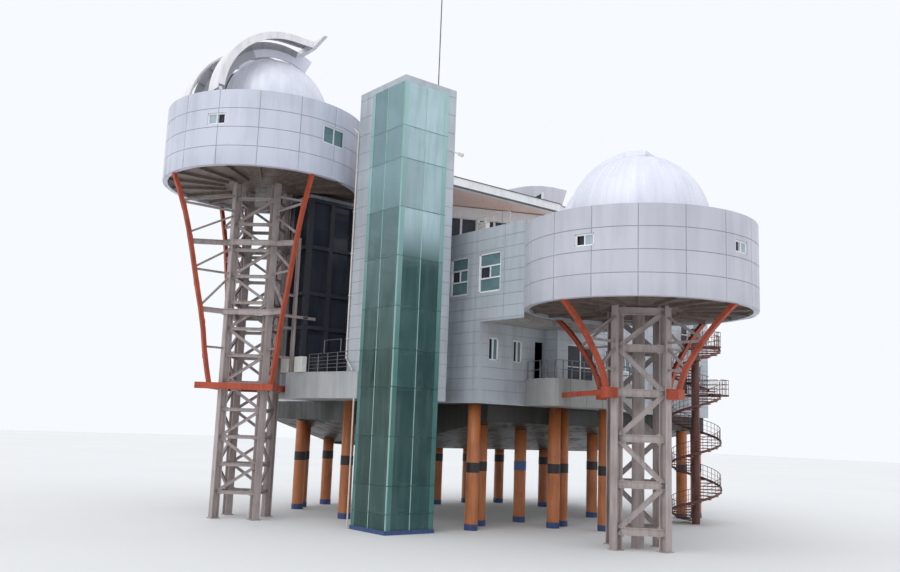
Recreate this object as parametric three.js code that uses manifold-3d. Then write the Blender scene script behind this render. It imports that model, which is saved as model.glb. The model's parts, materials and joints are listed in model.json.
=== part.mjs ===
// Observatory building on columns: two domed drums on lattice towers, a glass lift shaft,
// a raised main block, a glazed hall, a spiral stair and a covered roof terrace.
// Millimetres, +Z up. The origin is the middle of the lift shaft's plinth, at ground level.
// +X runs along the shaft's left face, +Y along its right face.

import * as THREE from 'three';
import { mergeVertices } from 'three/addons/utils/BufferGeometryUtils.js';
import Module from 'manifold-3d';

const wasm = await Module();
wasm.setup();

// Gap between touching pieces, and the overlap that makes a cut run past a face.
const GAP = 0.3;
const PAST = 50;

// Lift shaft and the clad core behind it.
const SHAFT_WIDTH = 3250;
const SHAFT_DEPTH = 3150;
const PLINTH_TOP = 220;
const PLINTH_LIP = 60;
const GLASS_TOP = 24870;
const CAP_TOP = 25220;
const PANE = 30;
const MULLION = 70;
const CORE_WEST = -2925;
const CORE_NORTH = 2125;
const CORE_SKIN = 200;
const ROD_HEIGHT = 6000;

// Storeys of the main block.
const DECK_BOTTOM = 7090;
const SOFFIT_THICK = 200;
const DECK_FLOOR = 8620;
const UPPER_BOTTOM = 11680;
const UPPER_FLOOR = 11980;
const ROOF_BOTTOM = 16270;
const ROOF_TOP = 16570;
const WALL_TOP = 17070;
const SLAB = 300;
const WALL = 250;
const DOOR_HEIGHT = 2200;

// Outer faces of the main block, from the front round to the back.
const FRONT = 3765;
const NICHE_EAST = 2465;
const NICHE_NORTH = 9075;
const EAST = 3415;
const RECESS_SOUTH = 17425;
const RECESS_EAST = 1325;
const NORTH = 26900;
const WEST = -16900;
const SOUTHWEST = 1125;
const HALL_EAST = -6975;
const HALL_WEST = -11175;
const HALL_SOUTH = -2275;
const HALL_TOP = 19500;

// Drums, domes and towers.
const LEFT_X = -9075;
const LEFT_Y = -4505;
const RIGHT_X = 10675;
const RIGHT_Y = 7675;
const LEFT_BASE = 19770;
const RIGHT_BASE = 11980;
const DRUM_RADIUS = 6040;
const DRUM_WALL = 300;
const DRUM_HEIGHT = 4400;
const DRUM_SIDES = 72;
const SOFFIT_RECESS = 200;
const DOME_RADIUS = 3720;
const DOME_SKIN = 80;
const LEFT_DOME_Z = 24520;
const RIGHT_DOME_Z = 16670;
const KERB_RISE = 60;
const TOWER_TURN = 46;
const LEG_REACH = 1700;
const LEG_SIZE = 440;
const BELT_REACH = 1562;
const LEFT_BRACING = { level: [150, 190], diagonal: [150, 160] };
const RIGHT_BRACING = { level: [150, 380], diagonal: [150, 260] };

// Two-part shutter of the left dome, drawn at rest in its open place.
const SHUTTER_RADIUS = 4740;
const SHUTTER_SKIN = 60;
const SHUTTER_SKIRT = 430;
const SHUTTER_INNER_EDGE = 1500;
const SHUTTER_OUTER_EDGE = 2780;
const SLIT_HALF = 1100;

const COLUMN_RADIUS = 370;
const COLUMN_SIDES = 16;

const building = new THREE.Group();

const finishes = {
  cladding: { color: 0xb9bcc6, roughness: 0.42, metalness: 0.35 },
  concrete: { color: 0x8f8a84, roughness: 0.85, metalness: 0.0 },
  glass: { color: 0x3f7f78, roughness: 0.12, metalness: 0.0, transparent: true, opacity: 0.45 },
  darkGlass: { color: 0x20282c, roughness: 0.1, metalness: 0.0, transparent: true, opacity: 0.8 },
  mullion: { color: 0x8fb5a8, roughness: 0.45, metalness: 0.2 },
  steel: { color: 0xa7a29d, roughness: 0.55, metalness: 0.2 },
  orange: { color: 0xb4502c, roughness: 0.5, metalness: 0.1 },
  plinth: { color: 0x24365e, roughness: 0.6, metalness: 0.0 },
  dome: { color: 0xd4d6dc, roughness: 0.3, metalness: 0.6 },
  soffit: { color: 0x6d635b, roughness: 0.8, metalness: 0.0 },
  stair: { color: 0x5a2f2a, roughness: 0.6, metalness: 0.1 },
  salmon: { color: 0xc79a86, roughness: 0.7, metalness: 0.0 },
};

function add(name, geometry, finish, parent = building) {
  const mesh = new THREE.Mesh(geometry, new THREE.MeshStandardMaterial(finishes[finish]));
  mesh.name = name;
  parent.add(mesh);
  return mesh;
}

// Solids and booleans

function solid(geometry) {
  const bare = geometry.clone();
  bare.deleteAttribute('normal');
  bare.deleteAttribute('uv');
  const merged = mergeVertices(bare, 0.001);
  const corners = merged.index.array;
  const faces = [];
  for (let i = 0; i < corners.length; i += 3) {
    const [a, b, c] = [corners[i], corners[i + 1], corners[i + 2]];
    if (a !== b && b !== c && c !== a) {
      faces.push(a, b, c);
    }
  }
  return new wasm.Manifold(new wasm.Mesh({
    numProp: 3,
    vertProperties: new Float32Array(merged.attributes.position.array),
    triVerts: new Uint32Array(faces),
  }));
}

function geometryOf(body) {
  const mesh = body.getMesh();
  const geometry = new THREE.BufferGeometry();
  geometry.setAttribute('position', new THREE.BufferAttribute(new Float32Array(mesh.vertProperties), 3));
  geometry.setIndex(new THREE.BufferAttribute(new Uint32Array(mesh.triVerts), 1));
  geometry.computeVertexNormals();
  return geometry;
}

function joined(geometries) {
  let body = solid(geometries[0]);
  for (const other of geometries.slice(1)) {
    body = body.add(solid(other));
  }
  return geometryOf(body);
}

function cut(geometry, cutters) {
  let body = solid(geometry);
  for (const cutter of cutters) {
    body = body.subtract(solid(cutter));
  }
  return geometryOf(body);
}

// Turns a piece drawn about its own axis by some degrees and moves it into place.
function placed(geometry, x, y, z, turn) {
  const copy = geometry.clone();
  copy.rotateZ(THREE.MathUtils.degToRad(turn));
  copy.translate(x, y, z);
  return copy;
}

// Simple shapes

function box(x0, x1, y0, y1, z0, z1) {
  const geometry = new THREE.BoxGeometry(x1 - x0, y1 - y0, z1 - z0);
  geometry.translate((x0 + x1) / 2, (y0 + y1) / 2, (z0 + z1) / 2);
  return geometry;
}

function prism(points, z0, z1) {
  const shape = new THREE.Shape(points.map(([x, y]) => new THREE.Vector2(x, y)));
  const geometry = new THREE.ExtrudeGeometry(shape, { depth: z1 - z0, bevelEnabled: false, steps: 1 });
  geometry.translate(0, 0, z0);
  return geometry;
}

// Extrudes an outline drawn in the XZ plane along Y.
function alongY(points, y0, y1) {
  const shape = new THREE.Shape(points.map(([x, z]) => new THREE.Vector2(x, z)));
  const geometry = new THREE.ExtrudeGeometry(shape, { depth: y1 - y0, bevelEnabled: false, steps: 1 });
  geometry.rotateX(Math.PI / 2);
  geometry.translate(0, y1, 0);
  return geometry;
}

function arcPoints(x, y, radius, from, to, steps) {
  const points = [];
  for (let i = 0; i <= steps; i += 1) {
    const angle = THREE.MathUtils.degToRad(from + ((to - from) * i) / steps);
    points.push([x + radius * Math.cos(angle), y + radius * Math.sin(angle)]);
  }
  return points;
}

function cylinder(x, y, radius, z0, z1, sides = COLUMN_SIDES) {
  return prism(arcPoints(x, y, radius, 0, 360, sides).slice(0, -1), z0, z1);
}

// A straight bar of rectangular section between two points.
function bar(a, b, width, height) {
  const start = new THREE.Vector3(...a);
  const end = new THREE.Vector3(...b);
  const length = start.distanceTo(end);
  const along = end.clone().sub(start).normalize();
  const upright = Math.abs(along.z) > 0.95 ? new THREE.Vector3(1, 0, 0) : new THREE.Vector3(0, 0, 1);
  const side = upright.clone().cross(along).normalize();
  const top = along.clone().cross(side);
  const geometry = new THREE.BoxGeometry(length, width, height);
  const turn = new THREE.Matrix4().makeBasis(along, side, top);
  turn.setPosition(start.add(end).multiplyScalar(0.5));
  return geometry.applyMatrix4(turn);
}

// A wall drawn on its outer face, with the outside to the right of its run.
// An opening is [distance from the start, width, sill height, head height].
function wall(from, to, outline, openings, thickness = WALL) {
  const start = new THREE.Vector3(from[0], from[1], 0);
  const along = new THREE.Vector3(to[0], to[1], 0).sub(start).normalize();
  const outward = along.clone().cross(new THREE.Vector3(0, 0, 1));
  const holes = openings.map(([s, width, sill, head]) => box(s, s + width, sill, head, -PAST, thickness + PAST));
  const geometry = cut(prism(outline, 0, thickness), holes);
  const place = new THREE.Matrix4().makeBasis(along, new THREE.Vector3(0, 0, 1), outward);
  place.setPosition(start.sub(outward.multiplyScalar(thickness)));
  return geometry.applyMatrix4(place);
}

function upright(length, bottom, top) {
  return [[0, bottom], [length, bottom], [length, top], [0, top]];
}

// Evenly spaced windows along a wall.
function windowRow(first, last, count, width, sill, head) {
  const openings = [];
  for (let i = 0; i < count; i += 1) {
    const middle = first + ((last - first) * (i + 0.5)) / count;
    openings.push([middle - width / 2, width, sill, head]);
  }
  return openings;
}

// Lift shaft

const TRANSOMS = [1050, 2500, 5080, 7710, 9760, 12090, 14870, 17620, 20410, 22290];

function shaftFrame() {
  const east = SHAFT_WIDTH / 2 - PANE - GAP;
  const west = -SHAFT_WIDTH / 2 + GAP;
  const south = -SHAFT_DEPTH / 2 + PANE + GAP;
  const north = SHAFT_DEPTH / 2 - GAP;
  const bottom = PLINTH_TOP + GAP;
  const top = GLASS_TOP - GAP;
  const pieces = [
    box(east - MULLION, east, south, south + MULLION, bottom, top),
    box(west, west + MULLION, south, south + MULLION, bottom, top),
    box(east - MULLION, east, north - MULLION, north, bottom, top),
    box(-MULLION / 2, MULLION / 2, south, south + MULLION, bottom, top),
    box(east - MULLION, east, -MULLION / 2, MULLION / 2, bottom, top),
  ];
  for (const level of TRANSOMS) {
    pieces.push(box(west, east, south, south + MULLION, level, level + MULLION));
    pieces.push(box(east - MULLION, east, south, north, level, level + MULLION));
  }
  pieces.push(box(west, east, south, south + MULLION, top - MULLION, top));
  pieces.push(box(east - MULLION, east, south, north, top - MULLION, top));
  return joined(pieces);
}

// Glass on the two sides of the ground storey that face the columns, with the way in.
function shaftGlassRear() {
  const x0 = -SHAFT_WIDTH / 2;
  const x1 = SHAFT_WIDTH / 2;
  const y0 = -SHAFT_DEPTH / 2 + PANE + GAP;
  const y1 = SHAFT_DEPTH / 2;
  const bottom = PLINTH_TOP + GAP;
  const top = DECK_BOTTOM - GAP;
  const panes = prism([
    [x0 - PANE, y0], [x0, y0], [x0, y1], [x1, y1], [x1, y1 + PANE], [x0 - PANE, y1 + PANE],
  ], bottom, top);
  const doorway = box(-600, 600, y1 - PAST, y1 + PANE + PAST, bottom - PAST, PLINTH_TOP + DOOR_HEIGHT);
  return cut(panes, [doorway]);
}

function addShaft() {
  const x = SHAFT_WIDTH / 2;
  const y = SHAFT_DEPTH / 2;
  add('shaft_plinth', box(-x - PLINTH_LIP, x + PLINTH_LIP, -y - PLINTH_LIP, y + PLINTH_LIP, 0, PLINTH_TOP), 'plinth');
  const bottom = PLINTH_TOP + GAP;
  add('shaft_glass_south', box(-x + GAP, x, -y, -y + PANE, bottom, GLASS_TOP - GAP), 'glass');
  add('shaft_glass_east', box(x - PANE, x, -y + PANE + GAP, y - GAP, bottom, GLASS_TOP - GAP), 'glass');
  add('shaft_glass_rear', shaftGlassRear(), 'glass');
  add('shaft_frame', shaftFrame(), 'mullion');
  add('shaft_cap', box(-x + GAP, x, -y, y - GAP, GLASS_TOP, CAP_TOP), 'cladding');
  add('lightning_rod', cylinder(x - 700, y - 300, 35, CAP_TOP + GAP, CAP_TOP + ROD_HEIGHT, 8), 'steel');
}

function addCore() {
  const x0 = -SHAFT_WIDTH / 2;
  const x1 = SHAFT_WIDTH / 2;
  const y0 = -SHAFT_DEPTH / 2;
  const y1 = SHAFT_DEPTH / 2;
  const pier = box(CORE_WEST, x0, y0, CORE_NORTH, DECK_BOTTOM, CAP_TOP);
  const hollow = box(
    CORE_WEST + CORE_SKIN, x0 - CORE_SKIN, y0 + CORE_SKIN, CORE_NORTH - CORE_SKIN,
    DECK_BOTTOM - PAST, CAP_TOP - CORE_SKIN,
  );
  add('core_west_pier', cut(pier, [hollow]), 'cladding');
  const doorways = [
    [50, 900, DECK_FLOOR, DECK_FLOOR + DOOR_HEIGHT],
    [50, 900, UPPER_FLOOR, UPPER_FLOOR + DOOR_HEIGHT],
  ];
  const width = x1 - x0 - GAP;
  add('core_north_wall', wall(
    [x1, CORE_NORTH], [x0 + GAP, CORE_NORTH],
    upright(width, DECK_BOTTOM, CAP_TOP),
    doorways.map(([s, w, sill, head]) => [width - s - w, w, sill, head]),
    CORE_NORTH - y1,
  ), 'cladding');
}

// Two-storey passage from the lift to the main block.
const LINK_WEST = -2600;
const LINK_EAST = -400;
const LINK_ROOF = 14600;
const LINK_SKIN = 180;

function addLink() {
  const body = box(LINK_WEST, LINK_EAST, CORE_NORTH + GAP, FRONT - GAP, DECK_FLOOR - SLAB, LINK_ROOF);
  const way = (z0, z1) => box(
    LINK_WEST + LINK_SKIN, LINK_EAST - LINK_SKIN, CORE_NORTH - PAST, FRONT + PAST, z0, z1,
  );
  add('core_link', cut(body, [
    way(DECK_FLOOR, UPPER_BOTTOM),
    way(UPPER_FLOOR, LINK_ROOF - SLAB),
  ]), 'cladding');
}

// Main block walls

function drumCutter(x, y, base) {
  return cylinder(x, y, DRUM_RADIUS + GAP, base - PAST * 20, base + DRUM_HEIGHT + PAST * 40, DRUM_SIDES);
}

const WINDOW_SILL = 13320;
const WINDOW_HEAD = 15620;
const LOW_SILL = 9560;
const LOW_HEAD = 10870;
const STAIR_DOOR = 23710;
const STAIR_DOOR_WIDTH = 880;

function addFrontWall() {
  const start = HALL_EAST + GAP;
  const corner = NICHE_EAST - start;
  const far = RIGHT_X - 4400 - start;
  const outline = [
    [0, DECK_BOTTOM], [corner, DECK_BOTTOM], [corner, UPPER_BOTTOM],
    [far, UPPER_BOTTOM], [far, WALL_TOP], [0, WALL_TOP],
  ];
  const linkDoor = -2000 - start;
  const openings = [
    [-350 - start, 1605, WINDOW_SILL, WINDOW_HEAD],
    [2205 - start, 1880, WINDOW_SILL, WINDOW_HEAD],
    [linkDoor, 1100, DECK_FLOOR, DECK_FLOOR + DOOR_HEIGHT],
    [linkDoor, 1100, UPPER_FLOOR, UPPER_FLOOR + DOOR_HEIGHT],
    [-6000 - start, 1800, DECK_FLOOR, DECK_FLOOR + DOOR_HEIGHT],
    [-6000 - start, 1880, WINDOW_SILL, WINDOW_HEAD],
  ];
  const full = wall([start, FRONT], [start + far, FRONT], outline, openings);
  add('front_wall', cut(full, [drumCutter(RIGHT_X, RIGHT_Y, RIGHT_BASE)]), 'cladding');
}

function addNicheWall() {
  const y0 = FRONT + WALL + GAP;
  const plan = [
    [NICHE_EAST - WALL, y0], [NICHE_EAST, y0], [NICHE_EAST, NICHE_NORTH], [EAST, NICHE_NORTH],
    [EAST, NICHE_NORTH + WALL], [NICHE_EAST - WALL, NICHE_NORTH + WALL],
  ];
  const x0 = NICHE_EAST - WALL - PAST;
  const x1 = NICHE_EAST + PAST;
  add('niche_wall', cut(prism(plan, DECK_BOTTOM, UPPER_BOTTOM - GAP), [
    box(x0, x1, 4475, 5245, LOW_SILL, LOW_HEAD),
    box(x0, x1, 6385, 7105, LOW_SILL, LOW_HEAD),
    box(x0, x1, 8125, 8975, DECK_FLOOR, DECK_FLOOR + 2300),
  ]), 'cladding');
}

function addEastWall() {
  const start = NICHE_NORTH + WALL + GAP;
  const bridge = RIGHT_Y * 2 - FRONT - start + GAP;
  const length = RECESS_SOUTH - start;
  const outline = [
    [0, DECK_BOTTOM], [length, DECK_BOTTOM], [length, WALL_TOP],
    [bridge, WALL_TOP], [bridge, UPPER_BOTTOM - GAP], [0, UPPER_BOTTOM - GAP],
  ];
  const openings = [
    [600, 2400, DECK_FLOOR, DECK_FLOOR + 2300],
    ...windowRow(4200, length - 400, 3, 1500, LOW_SILL, LOW_HEAD),
    ...windowRow(3000, length - 400, 3, 1880, WINDOW_SILL, WINDOW_HEAD),
  ];
  add('east_wall', wall([EAST, start], [EAST, RECESS_SOUTH], outline, openings), 'cladding');
}

function addStairCornerWall() {
  const y0 = RECESS_SOUTH - WALL;
  const plan = [
    [RECESS_EAST - WALL, y0], [EAST - WALL - GAP, y0], [EAST - WALL - GAP, RECESS_SOUTH],
    [RECESS_EAST, RECESS_SOUTH], [RECESS_EAST, NORTH], [RECESS_EAST - WALL, NORTH],
  ];
  const x0 = RECESS_EAST - WALL - PAST;
  const x1 = RECESS_EAST + PAST;
  add('stair_corner_wall', cut(prism(plan, DECK_BOTTOM, WALL_TOP), [
    box(x0, x1, STAIR_DOOR, STAIR_DOOR + STAIR_DOOR_WIDTH, DECK_FLOOR, DECK_FLOOR + DOOR_HEIGHT),
    box(x0, x1, STAIR_DOOR, STAIR_DOOR + STAIR_DOOR_WIDTH, UPPER_FLOOR, UPPER_FLOOR + DOOR_HEIGHT),
    box(x0, x1, 25200, 26200, LOW_SILL, LOW_HEAD),
    box(x0, x1, 25100, 26300, WINDOW_SILL, WINDOW_HEAD),
  ]), 'cladding');
}

function addNorthWall() {
  const length = RECESS_EAST - WALL - GAP - WEST;
  add('north_wall', wall(
    [RECESS_EAST - WALL - GAP, NORTH], [WEST, NORTH],
    upright(length, DECK_BOTTOM, WALL_TOP),
    [
      ...windowRow(600, length - 600, 5, 1500, LOW_SILL, LOW_HEAD),
      ...windowRow(600, length - 600, 5, 1880, WINDOW_SILL, WINDOW_HEAD),
    ],
  ), 'cladding');
}

function addWestWall() {
  const length = NORTH - WALL - GAP - SOUTHWEST;
  add('west_wall', wall(
    [WEST, NORTH - WALL - GAP], [WEST, SOUTHWEST],
    upright(length, DECK_BOTTOM, WALL_TOP),
    [
      ...windowRow(600, length - 600, 6, 1500, LOW_SILL, LOW_HEAD),
      ...windowRow(600, length - 600, 6, 1880, WINDOW_SILL, WINDOW_HEAD),
    ],
  ), 'cladding');
}

function addSouthwestWall() {
  const x0 = WEST + WALL + GAP;
  const plan = [
    [x0, SOUTHWEST], [HALL_EAST, SOUTHWEST], [HALL_EAST, FRONT + WALL], [HALL_EAST - WALL, FRONT + WALL],
    [HALL_EAST - WALL, SOUTHWEST + WALL], [x0, SOUTHWEST + WALL],
  ];
  const y0 = SOUTHWEST - PAST;
  const y1 = SOUTHWEST + WALL + PAST;
  add('southwest_wall', cut(prism(plan, DECK_BOTTOM, WALL_TOP), [
    box(-9800, -8300, y0, y1, DECK_FLOOR, DECK_FLOOR + DOOR_HEIGHT),
    box(-9800, -8300, y0, y1, UPPER_FLOOR, UPPER_FLOOR + DOOR_HEIGHT),
    box(-15200, -13320, y0, y1, WINDOW_SILL, WINDOW_HEAD),
    box(-15010, -13510, y0, y1, LOW_SILL, LOW_HEAD),
  ]), 'cladding');
}

function addBridgeWall() {
  const bridgeNorth = RIGHT_Y * 2 - FRONT;
  const x0 = EAST - WALL;
  const x1 = RIGHT_X - 4400;
  const full = wall(
    [x1, bridgeNorth], [x0, bridgeNorth],
    upright(x1 - x0, UPPER_BOTTOM, WALL_TOP),
    [[700, 1400, WINDOW_SILL, WINDOW_HEAD]],
  );
  add('bridge_north_wall', cut(full, [drumCutter(RIGHT_X, RIGHT_Y, RIGHT_BASE)]), 'cladding');
}

// Floors and roof

function lowerPlan() {
  const inset = WALL + GAP;
  return [
    [WEST + inset, SOUTHWEST + inset], [HALL_EAST - inset, SOUTHWEST + inset],
    [HALL_EAST - inset, FRONT + inset], [NICHE_EAST - inset, FRONT + inset],
    [NICHE_EAST - inset, NICHE_NORTH + inset], [EAST - inset, NICHE_NORTH + inset],
    [EAST - inset, RECESS_SOUTH - inset], [RECESS_EAST - inset, RECESS_SOUTH - inset],
    [RECESS_EAST - inset, NORTH - inset], [WEST + inset, NORTH - inset],
  ];
}

function upperPlan() {
  const inset = WALL + GAP;
  const bridgeNorth = RIGHT_Y * 2 - FRONT;
  return [
    [WEST + inset, SOUTHWEST + inset], [HALL_EAST - inset, SOUTHWEST + inset],
    [HALL_EAST - inset, FRONT + inset], [RIGHT_X - 4400, FRONT + inset],
    [RIGHT_X - 4400, bridgeNorth - inset], [EAST - inset, bridgeNorth - inset],
    [EAST - inset, RECESS_SOUTH - inset], [RECESS_EAST - inset, RECESS_SOUTH - inset],
    [RECESS_EAST - inset, NORTH - inset], [WEST + inset, NORTH - inset],
  ];
}

// Raked hull below the rear of the block. It slopes down to the west, and its southern wing
// slopes down to the north.
const HULL_SOUTH = 5900;
const HULL_EAST = 900;
const HULL_KNEE = -10000;
const HULL_HIGH = 6100;
const HULL_LOW = 4250;
const WING_HIGH = 5900;
const WING_LOW = 4400;
const HULL_SKIN = 250;
const HULL_SEAT = 150;

const COLUMNS = [
  [1225, 4625], [-470, 6680], [2060, 10330], [1400, 11710], [-1430, 10830], [-2160, 18360],
  [680, 24590], [680, 26250], [-9680, 21110], [-13530, 19960], [-14190, 17190], [-13660, 13790],
  [-15720, 5330], [-12960, 1500], [-14300, 2540],
];

function hullFoot(x) {
  const share = Math.max(0, (x - HULL_KNEE) / (HULL_EAST - HULL_KNEE));
  return HULL_LOW + (HULL_HIGH - HULL_LOW) * share;
}

function wingFoot(y) {
  return WING_HIGH + ((WING_LOW - WING_HIGH) * (y - SOUTHWEST)) / (HULL_SOUTH - SOUTHWEST);
}

// Height of the ceiling over a point on the ground.
function soffitAt(x, y) {
  if (y > HULL_SOUTH && x < HULL_EAST) {
    return hullFoot(x);
  }
  return y > SOUTHWEST && x < HALL_EAST ? wingFoot(y) : DECK_BOTTOM;
}

// Outline of the hull seen from the south, closed at one level above.
function hullOutline(x0, x1, lift, top) {
  return [
    [x0, top], [x0, HULL_LOW + lift], [HULL_KNEE, HULL_LOW + lift], [x1, hullFoot(x1) + lift], [x1, top],
  ];
}

// Outline of the southern wing seen from the east.
function wingOutline(y0, lift, top) {
  const points = [[y0, top], [y0, wingFoot(y0) + lift], [HULL_SOUTH, WING_LOW + lift], [HULL_SOUTH, top]];
  return new THREE.Shape(points.map(([y, z]) => new THREE.Vector2(y, z)));
}

function undercroft() {
  const seat = DECK_BOTTOM - GAP;
  const top = DECK_BOTTOM + SOFFIT_THICK;
  const inset = WALL + GAP;
  const deep = WALL + 200;
  const wingNorth = HULL_SOUTH + PAST;
  const hull = joined([
    alongY(hullOutline(WEST, HULL_EAST, 0, seat), HULL_SOUTH, NORTH),
    acrossSlit(wingOutline(SOUTHWEST, 0, seat), WEST, HALL_EAST),
    prism(lowerPlan(), DECK_BOTTOM, top),
    box(WEST + inset, HULL_EAST, HULL_SOUTH, NORTH - inset, DECK_BOTTOM - HULL_SEAT, top - PAST),
    box(WEST + inset, HALL_EAST - inset, SOUTHWEST + inset, wingNorth, DECK_BOTTOM - HULL_SEAT, top - PAST),
  ]);
  const hollows = [
    alongY(hullOutline(WEST + deep, HULL_EAST - HULL_SKIN, HULL_SKIN, top + PAST), HULL_SOUTH + HULL_SKIN, NORTH - deep),
    acrossSlit(wingOutline(SOUTHWEST + deep, HULL_SKIN, top + PAST), WEST + deep, HALL_EAST - deep),
  ];
  const columns = COLUMNS.map(([x, y]) => cylinder(x, y, COLUMN_RADIUS, 0, soffitAt(x, y) + HULL_SKIN / 2));
  return joined([cut(hull, hollows), ...columns]);
}

function addFloors() {
  add('undercroft', undercroft(), 'orange');
  add('deck_floor', prism(lowerPlan(), DECK_FLOOR - SLAB, DECK_FLOOR), 'concrete');
  const cutter = [drumCutter(RIGHT_X, RIGHT_Y, RIGHT_BASE)];
  add('upper_floor', cut(prism(upperPlan(), UPPER_BOTTOM, UPPER_FLOOR), cutter), 'concrete');
  add('roof_slab', cut(prism(upperPlan(), ROOF_BOTTOM, ROOF_TOP), cutter), 'concrete');
}

// Balconies: a deep fascia, a floor and a soffit, open towards the wall behind them.

const FASCIA = 150;
const BALCONY_SOFFIT = 100;
const BALCONY_SLAB = 200;
const BALCONY_PROW = [-7675, -2850];
const BALCONY_END = [-SHAFT_WIDTH / 2 - GAP, -1640];

// Front edge of the left balcony, which runs past the core to the side of the shaft.
function leftBalconyFront(x, inset) {
  const slope = (BALCONY_END[1] - BALCONY_PROW[1]) / (BALCONY_END[0] - BALCONY_PROW[0]);
  return [x, BALCONY_PROW[1] + slope * (x - BALCONY_PROW[0]) + inset];
}

function leftBalconyPlan() {
  const east = CORE_WEST - GAP;
  const north = FRONT - GAP;
  const stepNorth = SOUTHWEST - GAP;
  const stepEast = HALL_EAST + GAP;
  const coreSouth = -SHAFT_DEPTH / 2 - GAP;
  return [
    [HALL_WEST, HALL_SOUTH], [-8000, HALL_SOUTH], BALCONY_PROW, BALCONY_END, [BALCONY_END[0], coreSouth],
    [east, coreSouth], [east, north], [stepEast, north], [stepEast, stepNorth], [HALL_WEST, stepNorth],
  ];
}

function addLeftBalcony() {
  const east = CORE_WEST - GAP;
  const north = FRONT - GAP;
  const stepNorth = SOUTHWEST - GAP;
  const stepEast = HALL_EAST + GAP;
  const plan = leftBalconyPlan();
  const inner = [
    [HALL_WEST + FASCIA, HALL_SOUTH + FASCIA], [-7930, HALL_SOUTH + FASCIA], leftBalconyFront(-7600, FASCIA),
    leftBalconyFront(east - FASCIA, FASCIA), [east - FASCIA, north + PAST], [stepEast, north + PAST],
    [stepEast, stepNorth + PAST], [HALL_WEST + FASCIA, stepNorth + PAST],
  ];
  const body = cut(prism(plan, DECK_BOTTOM, DECK_FLOOR), [
    prism(inner, DECK_BOTTOM + BALCONY_SOFFIT, DECK_FLOOR - BALCONY_SLAB),
  ]);
  const column = cylinder(-6540, 1100, COLUMN_RADIUS, 0, DECK_BOTTOM + BALCONY_SOFFIT / 2);
  add('left_balcony', joined([body, column]), 'cladding');
}

const BALCONY_EAST = 5925;
const BALCONY_NORTH = 12900;
const BALCONY_START = 7400;

function balconyEdge(inset) {
  const nose = BALCONY_EAST - inset;
  const from = new THREE.Vector2(NICHE_EAST + GAP, BALCONY_START + inset);
  const bulge = new THREE.Vector2(4700, 6300 + inset);
  const to = new THREE.Vector2(nose, 7800);
  const curve = new THREE.CubicBezierCurve(from, bulge, new THREE.Vector2(nose, 6250 + inset), to);
  return curve.getPoints(12).map((point) => [point.x, point.y]);
}

function addRightBalcony() {
  const step = NICHE_NORTH - GAP;
  const outer = [
    ...balconyEdge(0), [BALCONY_EAST, BALCONY_NORTH], [EAST + GAP, BALCONY_NORTH],
    [EAST + GAP, step], [NICHE_EAST + GAP, step],
  ];
  const inner = [
    ...balconyEdge(FASCIA), [BALCONY_EAST - FASCIA, BALCONY_NORTH - FASCIA],
    [EAST - PAST, BALCONY_NORTH - FASCIA], [EAST - PAST, step + PAST], [NICHE_EAST - PAST, step + PAST],
    [NICHE_EAST - PAST, BALCONY_START + FASCIA],
  ];
  const body = cut(prism(outer, DECK_BOTTOM, DECK_FLOOR), [
    prism(inner, DECK_BOTTOM + BALCONY_SOFFIT, DECK_FLOOR - BALCONY_SLAB),
  ]);
  add('right_balcony', joined([body, cylinder(4385, 12245, COLUMN_RADIUS, 0, DECK_BOTTOM + 50)]), 'cladding');
}

// Glazed hall under the left drum

const HALL_POST = 300;
const HALL_RAIL = 220;
const HALL_GLASS_SET = 210;
const HALL_GLASS = 60;
const HALL_LEVELS = [DECK_FLOOR, 11300, 13400, 16300, HALL_TOP - HALL_RAIL];

function hallFrame() {
  const bottom = DECK_FLOOR + GAP;
  const top = HALL_TOP - GAP;
  const depth = 200;
  const north = SOUTHWEST - GAP;
  const pieces = [];
  for (const x of [HALL_WEST, (HALL_WEST + HALL_EAST - HALL_POST) / 2, HALL_EAST - HALL_POST]) {
    pieces.push(box(x, x + HALL_POST, HALL_SOUTH, HALL_SOUTH + depth, bottom, top));
  }
  for (const x of [HALL_WEST, HALL_EAST - depth]) {
    for (const y of [HALL_SOUTH, HALL_SOUTH + 1500, north - HALL_POST]) {
      pieces.push(box(x, x + depth, y, y + HALL_POST, bottom, top));
    }
  }
  for (const level of HALL_LEVELS) {
    const z0 = Math.max(level, bottom);
    const z1 = Math.min(level + HALL_RAIL, top);
    pieces.push(box(HALL_WEST, HALL_EAST, HALL_SOUTH, HALL_SOUTH + depth, z0, z1));
    pieces.push(box(HALL_WEST, HALL_WEST + depth, HALL_SOUTH, north, z0, z1));
    pieces.push(box(HALL_EAST - depth, HALL_EAST, HALL_SOUTH, north, z0, z1));
  }
  return joined(pieces);
}

function hallGlazing() {
  const x0 = HALL_WEST + HALL_GLASS_SET;
  const x1 = HALL_EAST - HALL_GLASS_SET;
  const y0 = HALL_SOUTH + HALL_GLASS_SET;
  const y1 = SOUTHWEST - GAP;
  const t = HALL_GLASS;
  const bottom = DECK_FLOOR + GAP;
  const top = HALL_TOP - GAP;
  return joined([
    prism([
      [x0, y0], [x1, y0], [x1, y1], [x1 - t, y1], [x1 - t, y0 + t], [x0 + t, y0 + t], [x0 + t, y1], [x0, y1],
    ], bottom, top),
    box(x0, x1, y1 - t, y1, WALL_TOP, top),
  ]);
}

function addHall() {
  add('hall_frame', hallFrame(), 'steel');
  add('hall_glazing', hallGlazing(), 'darkGlass');
  add('hall_roof', box(HALL_WEST, HALL_EAST, HALL_SOUTH, SOUTHWEST - GAP, HALL_TOP, HALL_TOP + 200), 'cladding');
}

// Roof terrace: set-back walls, the canopy over them and the arched roof light

const CANOPY_BOTTOM = 19430;
const CANOPY_TOP = 20090;
const TERRACE_SILL = 16900;
const TERRACE_HEAD = 18750;
const TERRACE_PIER = 150;

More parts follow.
